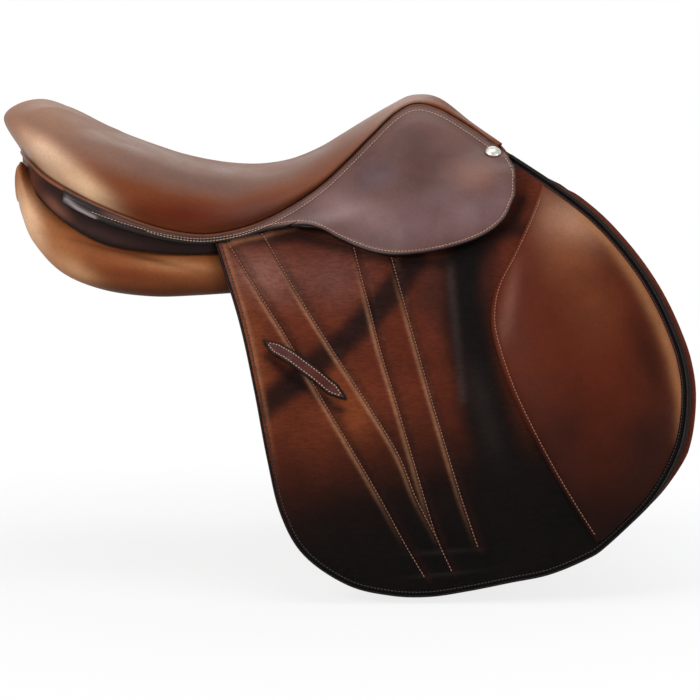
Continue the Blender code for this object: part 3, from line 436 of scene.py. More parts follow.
def shell(name, outer, inner, rows, columns, material, colours):
    """A closed form between two grids of points of the same layout."""
    count = rows * columns
    faces = grid_faces(rows, columns)
    faces += [tuple(i + count for i in face[::-1]) for face in faces]
    rim = list(range(columns))
    rim += [r * columns + columns - 1 for r in range(1, rows)]
    rim += [(rows - 1) * columns + c for c in range(columns - 2, -1, -1)]
    rim += [r * columns for r in range(rows - 2, 0, -1)]
    faces += [(b, a, a + count, b + count) for a, b in zip(rim, rim[1:] + rim[:1])]
    if colours is not None:
        colours = np.vstack([colours, colours])
    return add_mesh(name, np.vstack([outer, inner]), faces, material, colours)


def rounded(distance, thickness, radius=1.2):
    """Half the leather's thickness at a distance from its cut edge, which is rounded."""
    return thickness / 2 * np.sqrt(1 - (1 - np.clip(distance / radius, 0, 1)) ** 2)


def side_sheet(
    name, flat, rows, columns, thickness, border, relief, material, paint, surface=side, depth=0.0
):
    """A sheet of leather on a side surface, its free edges rounded; paint gives its colours."""
    if border is None:
        half = np.full(len(flat), thickness / 2)
    else:
        half = rounded(gap_from(flat, border), thickness)
    outer = on_surface(flat, depth + half + relief, surface)
    inner = on_surface(flat, depth - half, surface)
    colours = paint(outer, flat) if paint else None
    return shell(name, outer, inner, rows, columns, material, colours)


def grid_normals(grid):
    normal = np.cross(np.gradient(grid, axis=0), np.gradient(grid, axis=1))
    return normal / np.maximum(np.linalg.norm(normal, axis=2), 1e-9)[:, :, None]


def upward_normals(grid):
    """Unit normals of a grid of points, turned so that the one in its middle points up."""
    normal = grid_normals(grid)
    return normal * np.sign(normal[normal.shape[0] // 2, normal.shape[1] // 2, 2])


def frames(path, facing):
    """Unit vectors along a path, across it and up from it, where facing says which way is up."""
    run = headings(path)
    across = np.cross(run, facing)
    across /= np.linalg.norm(across, axis=1)[:, None]
    return run, across, np.cross(across, run)


def tube(name, path, facing, width, height, sides, material):
    """A closed cord of oval section along a path, width across it and height up from it."""
    _, across, up = frames(path, facing)
    turn = np.linspace(0, 2 * math.pi, sides, endpoint=False)
    width = np.broadcast_to(width, len(path))
    height = np.broadcast_to(height, len(path))
    rings = path[:, None] + across[:, None] * (np.cos(turn)[None, :, None] * width[:, None, None] / 2)
    rings = rings + up[:, None] * (np.sin(turn)[None, :, None] * height[:, None, None] / 2)
    return add_mesh(name, rings.reshape(-1, 3), ring_faces(len(path), sides), material)


def stitches(name, lines, material, pitch=3.0, length=2.2, thick=0.8):
    """Rows of thread: each line is (path, facing); every stitch is a short rounded capsule."""
    sides = 6
    shape = [(-0.5, 0.3), (-0.36, 0.9), (0.0, 1.0), (0.36, 0.9), (0.5, 0.3)]
    capsule = ring_faces(len(shape), sides)
    points, faces = [], []
    turn = np.linspace(0, 2 * math.pi, sides, endpoint=False)
    for path, facing in lines:
        reach = along(path)
        count = max(2, int(reach[-1] / pitch))
        wanted = (np.arange(count) + 0.5) * reach[-1] / count
        places = resample(path, reach, wanted)
        run, across, up = frames(places, resample(facing, reach, wanted))
        lean = RNG.normal(0, 0.08, count)
        for k in range(count):
            way = run[k] + across[k] * lean[k]
            faces += [[len(points) + corner for corner in face] for face in capsule]
            ring = np.outer(np.cos(turn), across[k]) + np.outer(np.sin(turn), up[k])
            for place, wide in shape:
                middle = places[k] + way * place * length + up[k] * (0.2 - abs(place) * 0.5) * thick
                points += list(middle + ring * wide * thick / 2)
    return add_mesh(name, np.array(points), faces, material, sharp=80)


def thread_line(flat, lift, surface=side):
    """A line of thread for stitches: its path over a side surface, and which way is up from it."""
    return on_surface(flat, lift, surface), slopes(flat, surface)


def mirrored(right):
    """The matching piece of the saddle's left side."""
    left = right.copy()
    left.data = right.data.copy()
    left.name = right.name.replace("_right", "_left")
    left.data.name = left.name
    bpy.context.scene.collection.objects.link(left)
    places = np.empty(len(left.data.vertices) * 3, np.float32)
    left.data.vertices.foreach_get("co", places)
    places[1::3] *= -1
    left.data.vertices.foreach_set("co", places)
    left.data.flip_normals()
    return left


def place(piece, body, nodes, slot, fill=None):
    """Ride a piece on its body, standing for the CAD nodes; fill, given for padded pieces, is not used."""
    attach(piece, body)
    if nodes:
        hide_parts(*nodes)


def place_pair(right, body, nodes, slot, fill=None):
    for piece, name in ((right, "right"), (mirrored(right), "left")):
        place(piece, body.format(name), [f"{n}_{name}" for n in nodes], slot, fill)


# materials


def node(tree, kind, **values):
    """A new node; a value is a setting, an input's own value or the socket that feeds it."""
    made = tree.nodes.new(kind)
    for key, value in values.items():
        if key not in made.inputs:
            setattr(made, key, value)
        elif isinstance(value, bpy.types.NodeSocket):
            tree.links.new(value, made.inputs[key])
        else:
            made.inputs[key].default_value = value
    return made


def plain(name, roughness, metallic=0.0, specular=0.5, sheen=0.0):
    made = bpy.data.materials.new(name)
    made.use_nodes = True
    shader = made.node_tree.nodes["Principled BSDF"]
    shader.inputs["Roughness"].default_value = roughness
    shader.inputs["Metallic"].default_value = metallic
    shader.inputs["Specular IOR Level"].default_value = specular
    shader.inputs["Sheen Weight"].default_value = sheen
    return made, made.node_tree, shader


def object_place(tree):
    return node(tree, "ShaderNodeTexCoord").outputs["Object"]


def noise(tree, where, scale, detail=6.0, rough=0.5, distortion=0.0):
    return node(
        tree, "ShaderNodeTexNoise",
        Vector=where, Scale=scale, Detail=detail, Roughness=rough, Distortion=distortion,
    ).outputs["Fac"]


def bump(tree, height, strength, distance, **under):
    made = node(tree, "ShaderNodeBump", Height=height, Strength=strength, Distance=distance, **under)
    return made.outputs["Normal"]


def map_range(tree, source, low, high, to_low, to_high):
    ends = {"From Min": low, "From Max": high, "To Min": to_low, "To Max": to_high}
    made = node(tree, "ShaderNodeMapRange", interpolation_type="SMOOTHSTEP", Value=source, **ends)
    return made.outputs["Result"]


def combine(tree, operation, a, b=None):
    made = node(tree, "ShaderNodeMath", operation=operation)
    for k, value in enumerate((a, b)):
        if isinstance(value, float):
            made.inputs[k].default_value = value
        elif value is not None:
            tree.links.new(value, made.inputs[k])
    return made.outputs[0]


def vary(tree, source, low, high):
    """A noise's usual values, about 0.3 to 0.7, spread over a range."""
    return map_range(tree, source, 0.3, 0.7, low, high)


def finish_look(tree, shader, colour, tone, normal, gloss=None):
    """Base colour, painted where no colour is given, times a varying tone; then relief and gloss."""
    if colour is None:
        source = node(tree, "ShaderNodeAttribute", attribute_name="tint").outputs["Color"]
    else:
        source = tuple(linear(colour))
    scaled = node(tree, "ShaderNodeVectorMath", operation="SCALE", Vector=source, Scale=tone)
    tree.links.new(scaled.outputs["Vector"], shader.inputs["Base Color"])
    tree.links.new(normal, shader.inputs["Normal"])
    if gloss is not None:
        tree.links.new(gloss, shader.inputs["Roughness"])


def leather(
    name, roughness, colour=None, pores=0.3, crease=0.3, blotch=0.16, specular=0.3, stretch=(1, 1, 1)
):
    """Leather: painted or even colour, soft blotches, fine pores and wrinkled creases."""
    made, tree, shader = plain(name, roughness, specular=specular)
    where = object_place(tree)
    stretched = node(tree, "ShaderNodeMapping", Vector=where, Scale=stretch).outputs["Vector"]
    soft = noise(tree, where, 30.0, rough=0.62)
    speck = noise(tree, where, 520.0, detail=3.0, rough=0.7)
    folds = noise(tree, stretched, 90.0, rough=0.66, distortion=0.5)
    grain = node(
        tree, "ShaderNodeTexVoronoi", Vector=stretched, Scale=760.0, feature="SMOOTH_F1", Smoothness=0.5
    )
    # Creases run where the folding noise passes through its middle value
    ridge = combine(tree, "ABSOLUTE", combine(tree, "SUBTRACT", folds, 0.5))
    lines = map_range(tree, ridge, 0.0, 0.045, 0.0, 1.0)

    tone = vary(tree, soft, 1 - blotch, 1 + blotch)
    tone = combine(tree, "MULTIPLY", tone, vary(tree, speck, 0.93, 1.07))
    # Along the creases the colour is darker too: painted shade in them
    tone = combine(tree, "MULTIPLY", tone, map_range(tree, lines, 0.0, 1.0, 1 - 0.35 * crease, 1.0))
    gloss = vary(tree, soft, roughness - 0.07, roughness + 0.1)

    fine = bump(tree, grain.outputs["Distance"], pores, 0.0003)
    deep = bump(tree, lines, crease, 0.0008, Normal=fine)
    broad = bump(tree, folds, crease, 0.0012, Normal=deep)
    finish_look(tree, shader, colour, tone, broad, gloss)
    return made


def mottled(name, colour, roughness, scale, low, high, relief, metallic=0.0, sheen=0.0):
    """A plain substance with fine variation in colour, gloss and height: metal, thread, foam."""
    made, tree, shader = plain(name, roughness, metallic=metallic, sheen=sheen)
    rub = noise(tree, object_place(tree), scale, rough=0.7)
    tone = vary(tree, rub, low, high)
    gloss = vary(tree, rub, roughness - 0.07, roughness + 0.12)
    finish_look(tree, shader, colour, tone, bump(tree, rub, relief, 0.0003), gloss)
    return made


def thread(name, colour, roughness=0.7, sheen=0.2):
    return mottled(name, colour, roughness, scale=1500.0, low=0.7, high=1.2, relief=0.3, sheen=sheen)


def metal(name, colour, roughness, low, high=1.05, relief=0.1):
    return mottled(name, colour, roughness, 240.0, low, high, relief, metallic=1.0)


def laminated_wood(name):
    made, tree, shader = plain(name, 0.55)
    spread = node(tree, "ShaderNodeMapping", Vector=object_place(tree), Scale=(1.0, 1.0, 12.0))
    rings = noise(tree, spread.outputs["Vector"], 32.0, distortion=1.2)
    tone = vary(tree, rings, 0.6, 1.1)
    finish_look(tree, shader, (205, 166, 112), tone, bump(tree, rings, 0.25, 0.0004))
    return made


def webbing(name, colour):
    """Woven webbing: two crossed waves raise the threads."""
    made, tree, shader = plain(name, 0.85, sheen=0.2)
    where = object_place(tree)
    waves = []
    for direction in ("X", "Y"):
        wave = node(tree, "ShaderNodeTexWave", Vector=where, Scale=260.0, bands_direction=direction)
        waves.append(wave.outputs["Fac"])
    weave = combine(tree, "MULTIPLY", *waves)
    tone = map_range(tree, weave, 0.0, 0.8, 0.6, 1.05)
    finish_look(tree, shader, colour, tone, bump(tree, weave, 0.5, 0.0004))
    return made


SEAT_FINISH = leather("seat leather", 0.46, pores=0.12, crease=0.08, blotch=0.07, specular=0.07)
SKIRT_FINISH = leather("skirt leather", 0.36, pores=0.08, crease=0.06, blotch=0.12, specular=0.2)
FLAP_FINISH = leather(
    "flap leather", 0.42, pores=0.3, crease=0.42, blotch=0.16, specular=0.04, stretch=(0.8, 1, 3.2)
)
PAD_FINISH = leather("knee pad leather", 0.42, pores=0.2, crease=0.14, blotch=0.1, specular=0.05)
PANEL_FINISH = leather("panel leather", 0.48, pores=0.14, crease=0.1, blotch=0.1, specular=0.06)
FACING_FINISH = leather("facing leather", 0.4, pores=0.12, crease=0.12, blotch=0.12, specular=0.08)
LINING_FINISH = leather("lining leather", 0.58, (92, 42, 28), pores=0.3, crease=0.4, specular=0.06)
BLACK_FINISH = leather("dark leather", 0.36, (18, 12, 11), pores=0.2, crease=0.2, specular=0.1)
PIPING_FINISH = leather("welt leather", 0.42, (124, 76, 56), pores=0.2, crease=0.2, specular=0.08)
KEEPER_FINISH = leather("keeper leather", 0.4, pores=0.3, crease=0.2, specular=0.1)
STRAP_FINISH = leather("girth strap leather", 0.5, (62, 34, 24), pores=0.3, crease=0.3)
CREAM_THREAD = thread("cream thread", (190, 152, 126))
DULL_THREAD = thread("worn thread", (146, 100, 76))
DARK_THREAD = thread("dark thread", (24, 18, 17), roughness=0.6, sheen=0.0)
SILVER = metal("nail metal", (196, 191, 180), 0.3, low=0.85)
STEEL = metal("bar steel", (190, 190, 188), 0.3, low=0.8)
SPRING = metal("spring steel", (112, 114, 118), 0.42, low=0.75, high=1.1, relief=0.15)
FOAM = mottled("seat foam", (226, 212, 160), 0.9, scale=700.0, low=0.8, high=1.05, relief=0.6)
WOOD = laminated_wood("tree wood")
WEB = webbing("webbing", (224, 216, 190))

# seat

# Where the seat's top turns over to its side
SHOULDER = [
    (5, 106), (30, 126), (60, 142), (110, 166), (170, 186), (230, 196), (290, 180), (330, 156), (425, 98),
]
# Spots on the seat's top: lighter and darker patches of painted sheen from the overhead light
SEAT_TOP_SHEEN_AND_TONE_SPOTS = [
    ((146, 106, 80), 0.8, (60, 112), (60, 20), 12),
    ((108, 78, 70), 0.9, (215, 184), (60, 12), 14),
    ((112, 82, 72), 0.7, (300, 165), (70, 12), -26),
    ((138, 108, 92), 0.6, (150, 148), (60, 9), 24),
    ((142, 110, 96), 0.7, (400, 112), (50, 14), -34),
    ((150, 118, 106), 0.9, (426, 103), (40, 12), 0),
]
# Spots on the seat's side: painted highlights on the roll by the cantle, and tone patches
SEAT_SIDE_HIGHLIGHT_AND_TONE_SPOTS = [
    ((214, 178, 150), 0.85, (46, 152), (18, 38), -44),
    ((226, 186, 148), 0.95, (86, 190), (38, 12), 38),
    ((90, 32, 15), 0.95, (186, 214), (66, 14), 6),
    ((86, 50, 42), 0.8, (258, 210), (44, 12), -18),
    ((112, 76, 62), 0.8, (345, 150), (60, 10), -40),
]
SEAT_CREASES = [
    ((112, 166), (16, 1.5), 22),
    ((136, 178), (20, 1.4), 18),
    ((160, 190), (16, 1.4), 12),
    ((126, 170), (14, 1.2), 32),
    ((185, 193), (18, 1.3), 4),
    ((146, 184), (22, 1.2), 26),
]


def seat_ribs(count, shares):
    """The seat's right half, rib by rib from the cantle to the pommel."""
    starts = curve_points(WELT, count)
    ends = matched_points(SEAT_RIDGE, WELT, count)
    shape = np.array(SEAT_RIB_SHAPE)
    fine = 400
    grid = []
    for n in range(count):
        here = n / (count - 1)
        bulge, rise, shoulder, height = [np.interp(here, shape[:, 0], shape[:, k]) for k in range(1, 5)]
        across = starts[n][:2] - ends[n][:2]
        outward = across / np.linalg.norm(across)
        knots = [
            starts[n],
            [*(starts[n][:2] + outward * bulge), starts[n][2] + rise],
            [*(ends[n][:2] + across * shoulder), ends[n][2] + height],
            ends[n],
        ]
        grid.append(resample(curve_points(knots, fine), np.linspace(0, 1, fine), shares))
    points = np.array(grid)
    points[:, :, 1] *= -1
    return points


def paint_seat(points):
    at = in_view(points)
    # The top keeps a greyer colour, a painted sheen of the overhead light; below the shoulder the side is
    # painted orange-brown
    below = ramp(line_distance(at, SHOULDER)[0], -10, 14)
    paint = Paint(at, (124, 92, 78)).spots(SEAT_TOP_SHEEN_AND_TONE_SPOTS)
    paint.lay((112, 58, 30), below)
    for colour, strength, centre, size, turn in SEAT_SIDE_HIGHLIGHT_AND_TONE_SPOTS:
        paint.lay(colour, below * spot(at, centre, size, turn) * strength)
    # A painted shade in the groove along the welt
    paint.lay((50, 25, 17), trail(at, in_view(WELT_FINE), 1.5, 3) * 0.8)
    return paint.colours


def add_left_half(piece):
    """Add the left half to a closed piece that ends on the middle plane, as one closed mesh."""
    weld = piece.modifiers.new("left half", "MIRROR")
    weld.use_axis = (False, True, False)
    weld.merge_threshold = 0.0002
    graph = bpy.context.evaluated_depsgraph_get()
    mesh = bpy.data.meshes.new_from_object(piece.evaluated_get(graph))
    edit = bmesh.new()
    edit.from_mesh(mesh)
    inside = [f for f in edit.faces if all(abs(v.co.y) < 0.00005 for v in f.verts)]
    bmesh.ops.delete(edit, geom=inside, context="FACES_ONLY")
    bmesh.ops.recalc_face_normals(edit, faces=edit.faces)
    edit.to_mesh(mesh)
    edit.free()
    piece.modifiers.clear()
    piece.data = mesh


def build_seat():
    rows = 190
    shares = np.concatenate([[0, 0.0015, 0.005, 0.011], 0.02 + 0.98 * np.linspace(0, 1, 64) ** 1.1])
    half = seat_ribs(rows, shares)
    columns = half.shape[1]
    whole = np.concatenate([half, (half * [1, -1, 1])[:, -2::-1]], axis=1)
    normal = upward_normals(whole)[:, :columns]
    # The two halves part in front of the ridge, where each takes its own slope
    own = upward_normals(half)
    parted = np.abs(half[:, -1, 1]) > 0.01
    normal[parted] = own[parted]
    normal[~parted, -1, 1] = 0
    normal /= np.maximum(np.linalg.norm(normal, axis=2), 1e-9)[:, :, None]
    at = in_view(half.reshape(-1, 3))
    crease = sum(spot(at, *row) for row in SEAT_CREASES)
    half = half - normal * (0.4 * crease).reshape(rows, columns, 1)
    reach = np.linalg.norm(np.diff(half, axis=1), axis=2).cumsum(axis=1)
    reach = np.concatenate([np.zeros((rows, 1)), reach], axis=1)
    thick = rounded(reach, SEAT_LEATHER_THICK, 1.0)[:, :, None]
    outer, inner = (half + normal * thick).reshape(-1, 3), (half - normal * thick).reshape(-1, 3)
    seat = shell("seat_leather", outer, inner, rows, columns, SEAT_FINISH, paint_seat(outer))
    add_left_half(seat)
    place(seat, "saddle_body", ["seat_cover"], "seat_leather", 0.8)


def build_foam():
    """The foam under the seat's leather, seen only from below."""
    half = seat_ribs(60, 0.24 + 0.76 * np.linspace(0, 1, 30))[4:44]
    whole = np.concatenate([half[:, :-1], (half * [1, -1, 1])[:, ::-1]], axis=1)
    rows, columns = whole.shape[:2]
    normal = upward_normals(whole)
    taper = np.interp(np.linspace(0, 1, rows), [0, 0.15, 0.6, 1], [0.6, 1, 1, 0.35])
    depth = 3 + 7 * np.outer(taper, 1 - np.abs(np.linspace(-1, 1, columns)) ** 2.5)
    outer = whole - normal * 2.6
    inner = outer - normal * depth[:, :, None]
    pad = shell("seat_padding", outer.reshape(-1, 3), inner.reshape(-1, 3), rows, columns, FOAM, None)
    place(pad, "saddle_body", ["seat_foam"], "foam", 0.7)


def both_halves(half, way=1):
    """A line over both sides of the saddle from its left half, which starts on the middle plane."""
    return np.vstack([half[::-1] * [1, -1, 1], half[1:]]) * [1, way, 1]


PIPING_PROUD = 1.3
PIPING_DROP = 1.8
PIPING_SIZE = (3.6, 3.8)


def build_welt():
    """The piped seam round the seat."""
    half = curve_points(WELT, 260)
    run = np.gradient(half, axis=0)
    outward = np.column_stack([-run[:, 1], run[:, 0], np.zeros(len(half))])
    outward /= np.linalg.norm(outward, axis=1)[:, None]
    half = half + outward * (PIPING_PROUD * ramp(half[:, 0], -214, -190))[:, None]
    half[:, 2] -= PIPING_DROP
    half[0, 1] = 0
    path, facing = both_halves(half, -1), both_halves(outward, -1)
    cord = tube("seat_piping", path, facing, *PIPING_SIZE, 12, PIPING_FINISH)
    place(cord, "saddle_body", ["seat_welt"], "black_leather")


# facings

FACING_LEATHER = 2.4
FACING_DROP = 3.4
FACING_FORWARD = 0.8
CANTLE_SPOTS = [
    ((112, 70, 56), 0.9, (56, 208), (22, 6), 44),
    ((100, 60, 46), 0.8, (30, 178), (10, 16), 0),
    ((56, 36, 34), 0.8, (100, 234), (36, 6), 18),
]


def build_facing(name, top, foot, material, base, spots, cad_node, slot):
    columns = len(top)
    shares = edge_shares(14, 20.0)
    rows = len(shares)
    grid = np.array([top + (foot - top) * s for s in shares])
    normal = grid_normals(grid)
    normal *= np.sign(normal[rows // 2, columns // 2, 0] * grid[rows // 2, columns // 2, 0])
    reach = np.minimum(shares, 1 - shares)[:, None] * np.linalg.norm(foot - top, axis=1)[None, :]
    half = rounded(reach, FACING_LEATHER, 1.0)[:, :, None]
    outer, inner = (grid + normal * half).reshape(-1, 3), (grid - normal * half).reshape(-1, 3)
    paint = Paint(in_view(outer), base).spots(spots)
    paint.lay((18, 10, 9), np.repeat(ramp(shares, 0.8, 0.97), columns) * 0.8)
    band = shell(name, outer, inner, rows, columns, material, paint.colours)
    place(band, "saddle_body", [cad_node], slot)


def build_facings():
    half_top = curve_points([p for p in WELT if p[0] <= -21], 110)
    half_foot = curve_points(FACING_FOOT, 110)
    half_top[:, 2] -= FACING_DROP
    half_top[:, 0] += FACING_FORWARD
    half_top[-1, 0] = half_foot[-1, 0]
    top, foot = both_halves(half_top), both_halves(half_foot)
    build_facing(
        "cantle_band", top, foot, FACING_FINISH, (34, 20, 18), CANTLE_SPOTS, "cantle_facing", "black_leather"
    )
    top, foot = both_halves(curve_points(POMMEL_OUTER, 60)), both_halves(curve_points(POMMEL_INNER, 60))
    build_facing("pommel_band", top, foot, PANEL_FINISH, (104, 62, 42), [], "pommel_facing", "panel_leather")


# skirts

SKIRT_FINE = smooth_curve(SKIRT_LOWER)
TAIL_X = -168.0
EDGE_STITCHES_FROM = -142.0
EDGE_STITCHES_INSET = 3.2
SEAM_STITCHES_FROM = -95.0
SEAM_STITCHES_INSET = 4.4
# Half the gap left between the skirt's upper part and its lobe along the fold
FOLD_GAP = 0.02
TONGUE_THICK = 0.5
TONGUE_DEPTH = 1.65
# The stirrup leather's print: rows where it fades, its rear and front columns at one row, its (x, z)
PRINT_ROWS = (190, 200, 244, 250)
PRINT_ROW = 195
PRINT_REAR = 392
PRINT_FRONT = 440
PRINT_MIDDLE = (152, 88)
PRINT_TOP = 112


def skirt_rows():
    """Top edge and foot of the skirt's upper part, column by column."""
    share = edge_shares(190, 400.0, high=False)
    welt = WELT_FINE[WELT_FINE[:, 0] >= TAIL_X]
    top_x = TAIL_X + share * (218 - TAIL_X)
    top = np.column_stack([top_x, np.interp(top_x, welt[:, 0], welt[:, 2]) - 2.6])
    foot_x = TAIL_X + share * (FOLD_FRONT[0] - 1 - TAIL_X)
    edge = np.interp(foot_x, SKIRT_FINE[:, 0], SKIRT_FINE[:, 1])
    blend = np.clip((foot_x - 26) / 10, 0, 1)
    foot = np.column_stack([foot_x, edge * (1 - blend) + (fold_height(foot_x) + FOLD_GAP) * blend])
    return top, foot


SKIRT_TOP, SKIRT_FOOT = skirt_rows()
SKIRT_BORDER = np.vstack([
    SKIRT_TOP[:1], SKIRT_FINE,
    curve_points([SKIRT_LOWER[-1], SKIRT_FRONT, (232, 113), SKIRT_NAIL_CORNER, SKIRT_TOP[-1]], 40)[1:],
])
# The pale purple-grey spots are painted reflections on the glossy skirt; the others are tone patches
SKIRT_SHEEN_AND_TONE_SPOTS = [
    ((122, 92, 92), 0.9, (360, 214), (44, 16), 20),
    ((120, 94, 96), 0.8, (470, 212), (32, 20), -30),
    ((122, 84, 72), 0.85, (480, 174), (26, 16), 10),
    ((70, 40, 34), 0.8, (418, 150), (16, 26), 20),
    ((80, 61, 67), 0.7, (378, 176), (18, 12), -20),
    ((106, 74, 68), 0.6, (420, 118), (30, 12), 0),
    ((102, 68, 58), 0.6, (455, 135), (20, 10), 40),
    ((132, 110, 110), 0.6, (330, 216), (40, 7), -12),
    ((96, 66, 56), 0.7, (150, 232), (70, 5), 8),
    ((120, 92, 94), 0.6, (503, 196), (12, 20), 0),
    ((108, 84, 86), 0.6, (420, 226), (26, 12), 0),
]
TAIL_SHEEN = [(66, 199), (78, 209), (94, 218)]


def paint_skirt(points, flat):
    at = in_view(points)
    paint = Paint(at, (86, 58, 54)).spots(SKIRT_SHEEN_AND_TONE_SPOTS)
    x, y = at[:, 0], at[:, 1]
    tall = ramp(y, *PRINT_ROWS[:2]) * (1 - ramp(y, *PRINT_ROWS[2:]))
    left = ramp(x - (PRINT_REAR + (y - PRINT_ROW) * 0.24), 0, 3)
    right = 1 - ramp(x - (PRINT_FRONT - (y - PRINT_ROW) * 0.14), 0, 3)
    paint.lay((92, 62, 64), tall * left * right * 0.55)
    border = gap_from(flat, SKIRT_BORDER)
    wide = 1.6 + 3.2 * (1 - ramp(flat[:, 0], -40, 30))
    paint.lay((20, 14, 13), (1 - ramp(border, wide * 0.75, wide)) * 0.95)
    paint.lay((20, 14, 13), (1 - ramp(flat[:, 0], -138, -124)) * 0.95)
    paint.lay((150, 140, 142), trail(at, TAIL_SHEEN, 2.4) * 0.7)
    # A painted shade in the groove along the skirt's top seam
    seam = gap_from(flat, SKIRT_TOP)
    paint.lay((34, 22, 20), (1 - ramp(seam, 0.2, 1.3)) * 0.8)
    return paint.colours


def skirt_relief(flat):
    """Sunk lines under the stitches, and the print of the stirrup leather that lies beneath."""
    x, z = flat[:, 0], flat[:, 1]
    border, seam = gap_from(flat, SKIRT_BORDER), gap_from(flat, SKIRT_TOP)
    sewn = bell(border, EDGE_STITCHES_INSET, 0.9) + bell(seam, SEAM_STITCHES_INSET, 0.9)
    across = x - PRINT_MIDDLE[0] - (z - PRINT_MIDDLE[1]) * 0.1
    strap = np.exp(-((across / 20) ** 4)) * ramp(PRINT_TOP - z, 0, 12)
    return 0.7 * strap - 0.3 * sewn


def build_skirt_sheet(name, body, node_name, flat, rows, columns):
    made = side_sheet(
        name, flat, rows, columns, SKIRT_LEATHER, SKIRT_BORDER, skirt_relief(flat),
        SKIRT_FINISH, paint_skirt, skirt_side,
    )
    place_pair(made, body, [node_name], "skirt_leather")


def build_skirt():
    """The skirt's fixed upper part."""
    columns = len(SKIRT_TOP)
    down = edge_shares(42, 34.0)
    corner = curve_at([SKIRT_TOP[-1], SKIRT_NAIL_CORNER, SKIRT_FOOT[-1]], down)
    draw = ramp(np.linspace(0, 1, columns), 0.86, 1.0)[:, None]
    grid = []
    for s, end in zip(down, corner):
        row = SKIRT_TOP + (SKIRT_FOOT - SKIRT_TOP) * s
        grid.append(row + (end - row[-1]) * draw)
    build_skirt_sheet("skirt_leather_right", "saddle_body", "skirt", np.vstack(grid), len(down), columns)


def build_skirt_lobe():
    """The lobe, which folds up on a straight line."""
    fold_x = np.linspace(FOLD_REAR[0] + 3, FOLD_FRONT[0] - 1, 4)
    top = np.column_stack([fold_x, fold_height(fold_x) - FOLD_GAP])
    foot = [(33, 61.5)] + [p for p in SKIRT_LOWER if p[0] > 50]
    u, v = edge_shares(110, 200.0), edge_shares(60, 60.0)
    flat = patch(top, foot, [top[0], foot[0]], [top[-1], SKIRT_FRONT, foot[-1]], u, v)
    build_skirt_sheet("skirt_lobe_leather_right", "skirt_lobe_{}_body", "skirt_lobe", flat, len(v), len(u))


def build_skirt_tongue():
    """A thin tongue behind the fold, which keeps the joint closed when the lobe is up."""
    rows, columns = (3.0, 1.5, 0.0, -1.2, -2.4), 60
    x = np.linspace(FOLD_REAR[0], FOLD_FRONT[0] - 6, columns)
    flat = np.vstack([np.column_stack([x, fold_height(x) + above]) for above in rows])
    tongue = side_sheet(
        "skirt_fold_tongue_right", flat, len(rows), columns, TONGUE_THICK, None, 0.0,
        SKIRT_FINISH, paint_skirt, skirt_side, -TONGUE_DEPTH,
    )
    place_pair(tongue, "saddle_body", [], "skirt_leather")


def build_skirt_stitches():
    lift = SKIRT_LEATHER / 2 + 0.1
    seam = offset_flat(SKIRT_TOP, -SEAM_STITCHES_INSET)[:-3]
    seam = seam[seam[:, 0] > SEAM_STITCHES_FROM]
    row = offset_flat(curve_points(SKIRT_BORDER[2:-10], 500), EDGE_STITCHES_INSET)
    row = row[row[:, 0] > EDGE_STITCHES_FROM]
    folded = (row[:, 1] < fold_height(row[:, 0])) & (row[:, 0] > FOLD_REAR[0])
    first, last = np.flatnonzero(folded)[[0, -1]]
    upper = [thread_line(part, lift, skirt_side) for part in (seam, row[:first], row[last:])]
    place_pair(stitches("skirt_stitches_right", upper, CREAM_THREAD), "saddle_body", [], "skirt_leather")
    lobe = [thread_line(row[first:last], lift, skirt_side)]
    sewn = stitches("skirt_lobe_stitches_right", lobe, CREAM_THREAD)
    place_pair(sewn, "skirt_lobe_{}_body", [], "skirt_leather")


# Radius and height of the nail's head, from its crown to its foot
NAIL_PROFILE = [
    (1.6, 4.9), (3.4, 4.5), (5.2, 3.7), (6.5, 2.7), (7.3, 1.7), (7.5, 1.0), (7.2, 0.3), (6.6, -0.4),
]


def build_nail():
    centre = on_surface([NAIL_PLACE], SKIRT_LEATHER / 2, skirt_side)[0]
    out = slopes(np.array([NAIL_PLACE], float), skirt_side)[0]
    across = np.cross(out, [0, 0, 1.0])
    across /= np.linalg.norm(across)
    up = np.cross(across, out)
    around = 40
    turn = np.linspace(0, 2 * math.pi, around, endpoint=False)
    ring = np.outer(np.cos(turn), across) + np.outer(np.sin(turn), up)
    points = np.vstack([centre + out * height + ring * radius for radius, height in NAIL_PROFILE])
    head = add_mesh("nail_head_right", points, ring_faces(len(NAIL_PROFILE), around), SILVER, sharp=70)
    place_pair(head, "saddle_body", ["skirt_nail"], "bright_steel")


# flaps

LINES = [curve_points(line, 80) for line in CHANNEL_LINES]


def flap_round():
    """The flap's rear, foot and front edges, cut from one smooth line so that no corner shows."""
    fine = 12
    whole = smooth_curve(FLAP_REAR + FLAP_FOOT[1:] + FLAP_FRONT[1:], fine)
    first = fine * (len(FLAP_REAR) - 1)
    second = first + fine * (len(FLAP_FOOT) - 1)
    return whole[: first + 1], whole[first : second + 1], whole[second:]


REAR_EDGE, FOOT_EDGE, FRONT_EDGE = flap_round()
FLAP_BORDER = np.vstack([
    curve_points(FLAP_TOP[::-1], 60)[:-1], curve_points(REAR_EDGE, 60)[:-1],
    curve_points(FOOT_EDGE, 80)[:-1], curve_points(FRONT_EDGE, 120),
])


def flap_relief(flat):
    """How far the flap's face stands out: puffed channels between sunk lines of stitches."""
    relief = np.zeros(len(flat))
    near = [line_distance(flat, line) for line in LINES]
    for rear, front in ((0, 1), (2, 3)):
        after, before = near[rear][0], -near[front][0]
        inside = (after > 0) & (before > 0)
        share = np.clip(after / np.maximum(after + before, 1.0), 0, 1)
        reach = near[rear][1]
        fade = ramp(reach, -14, 26) * ramp(along(LINES[rear])[-1] - reach, 0, 40)
        relief += np.where(inside, 3.2 * np.sin(math.pi * share) ** 0.55, 0) * fade
    for signed, reach in near:
        relief += 1.3 * bell(signed, 6.5, 5) - 0.7 * bell(signed, 0, 1.5)
    return relief


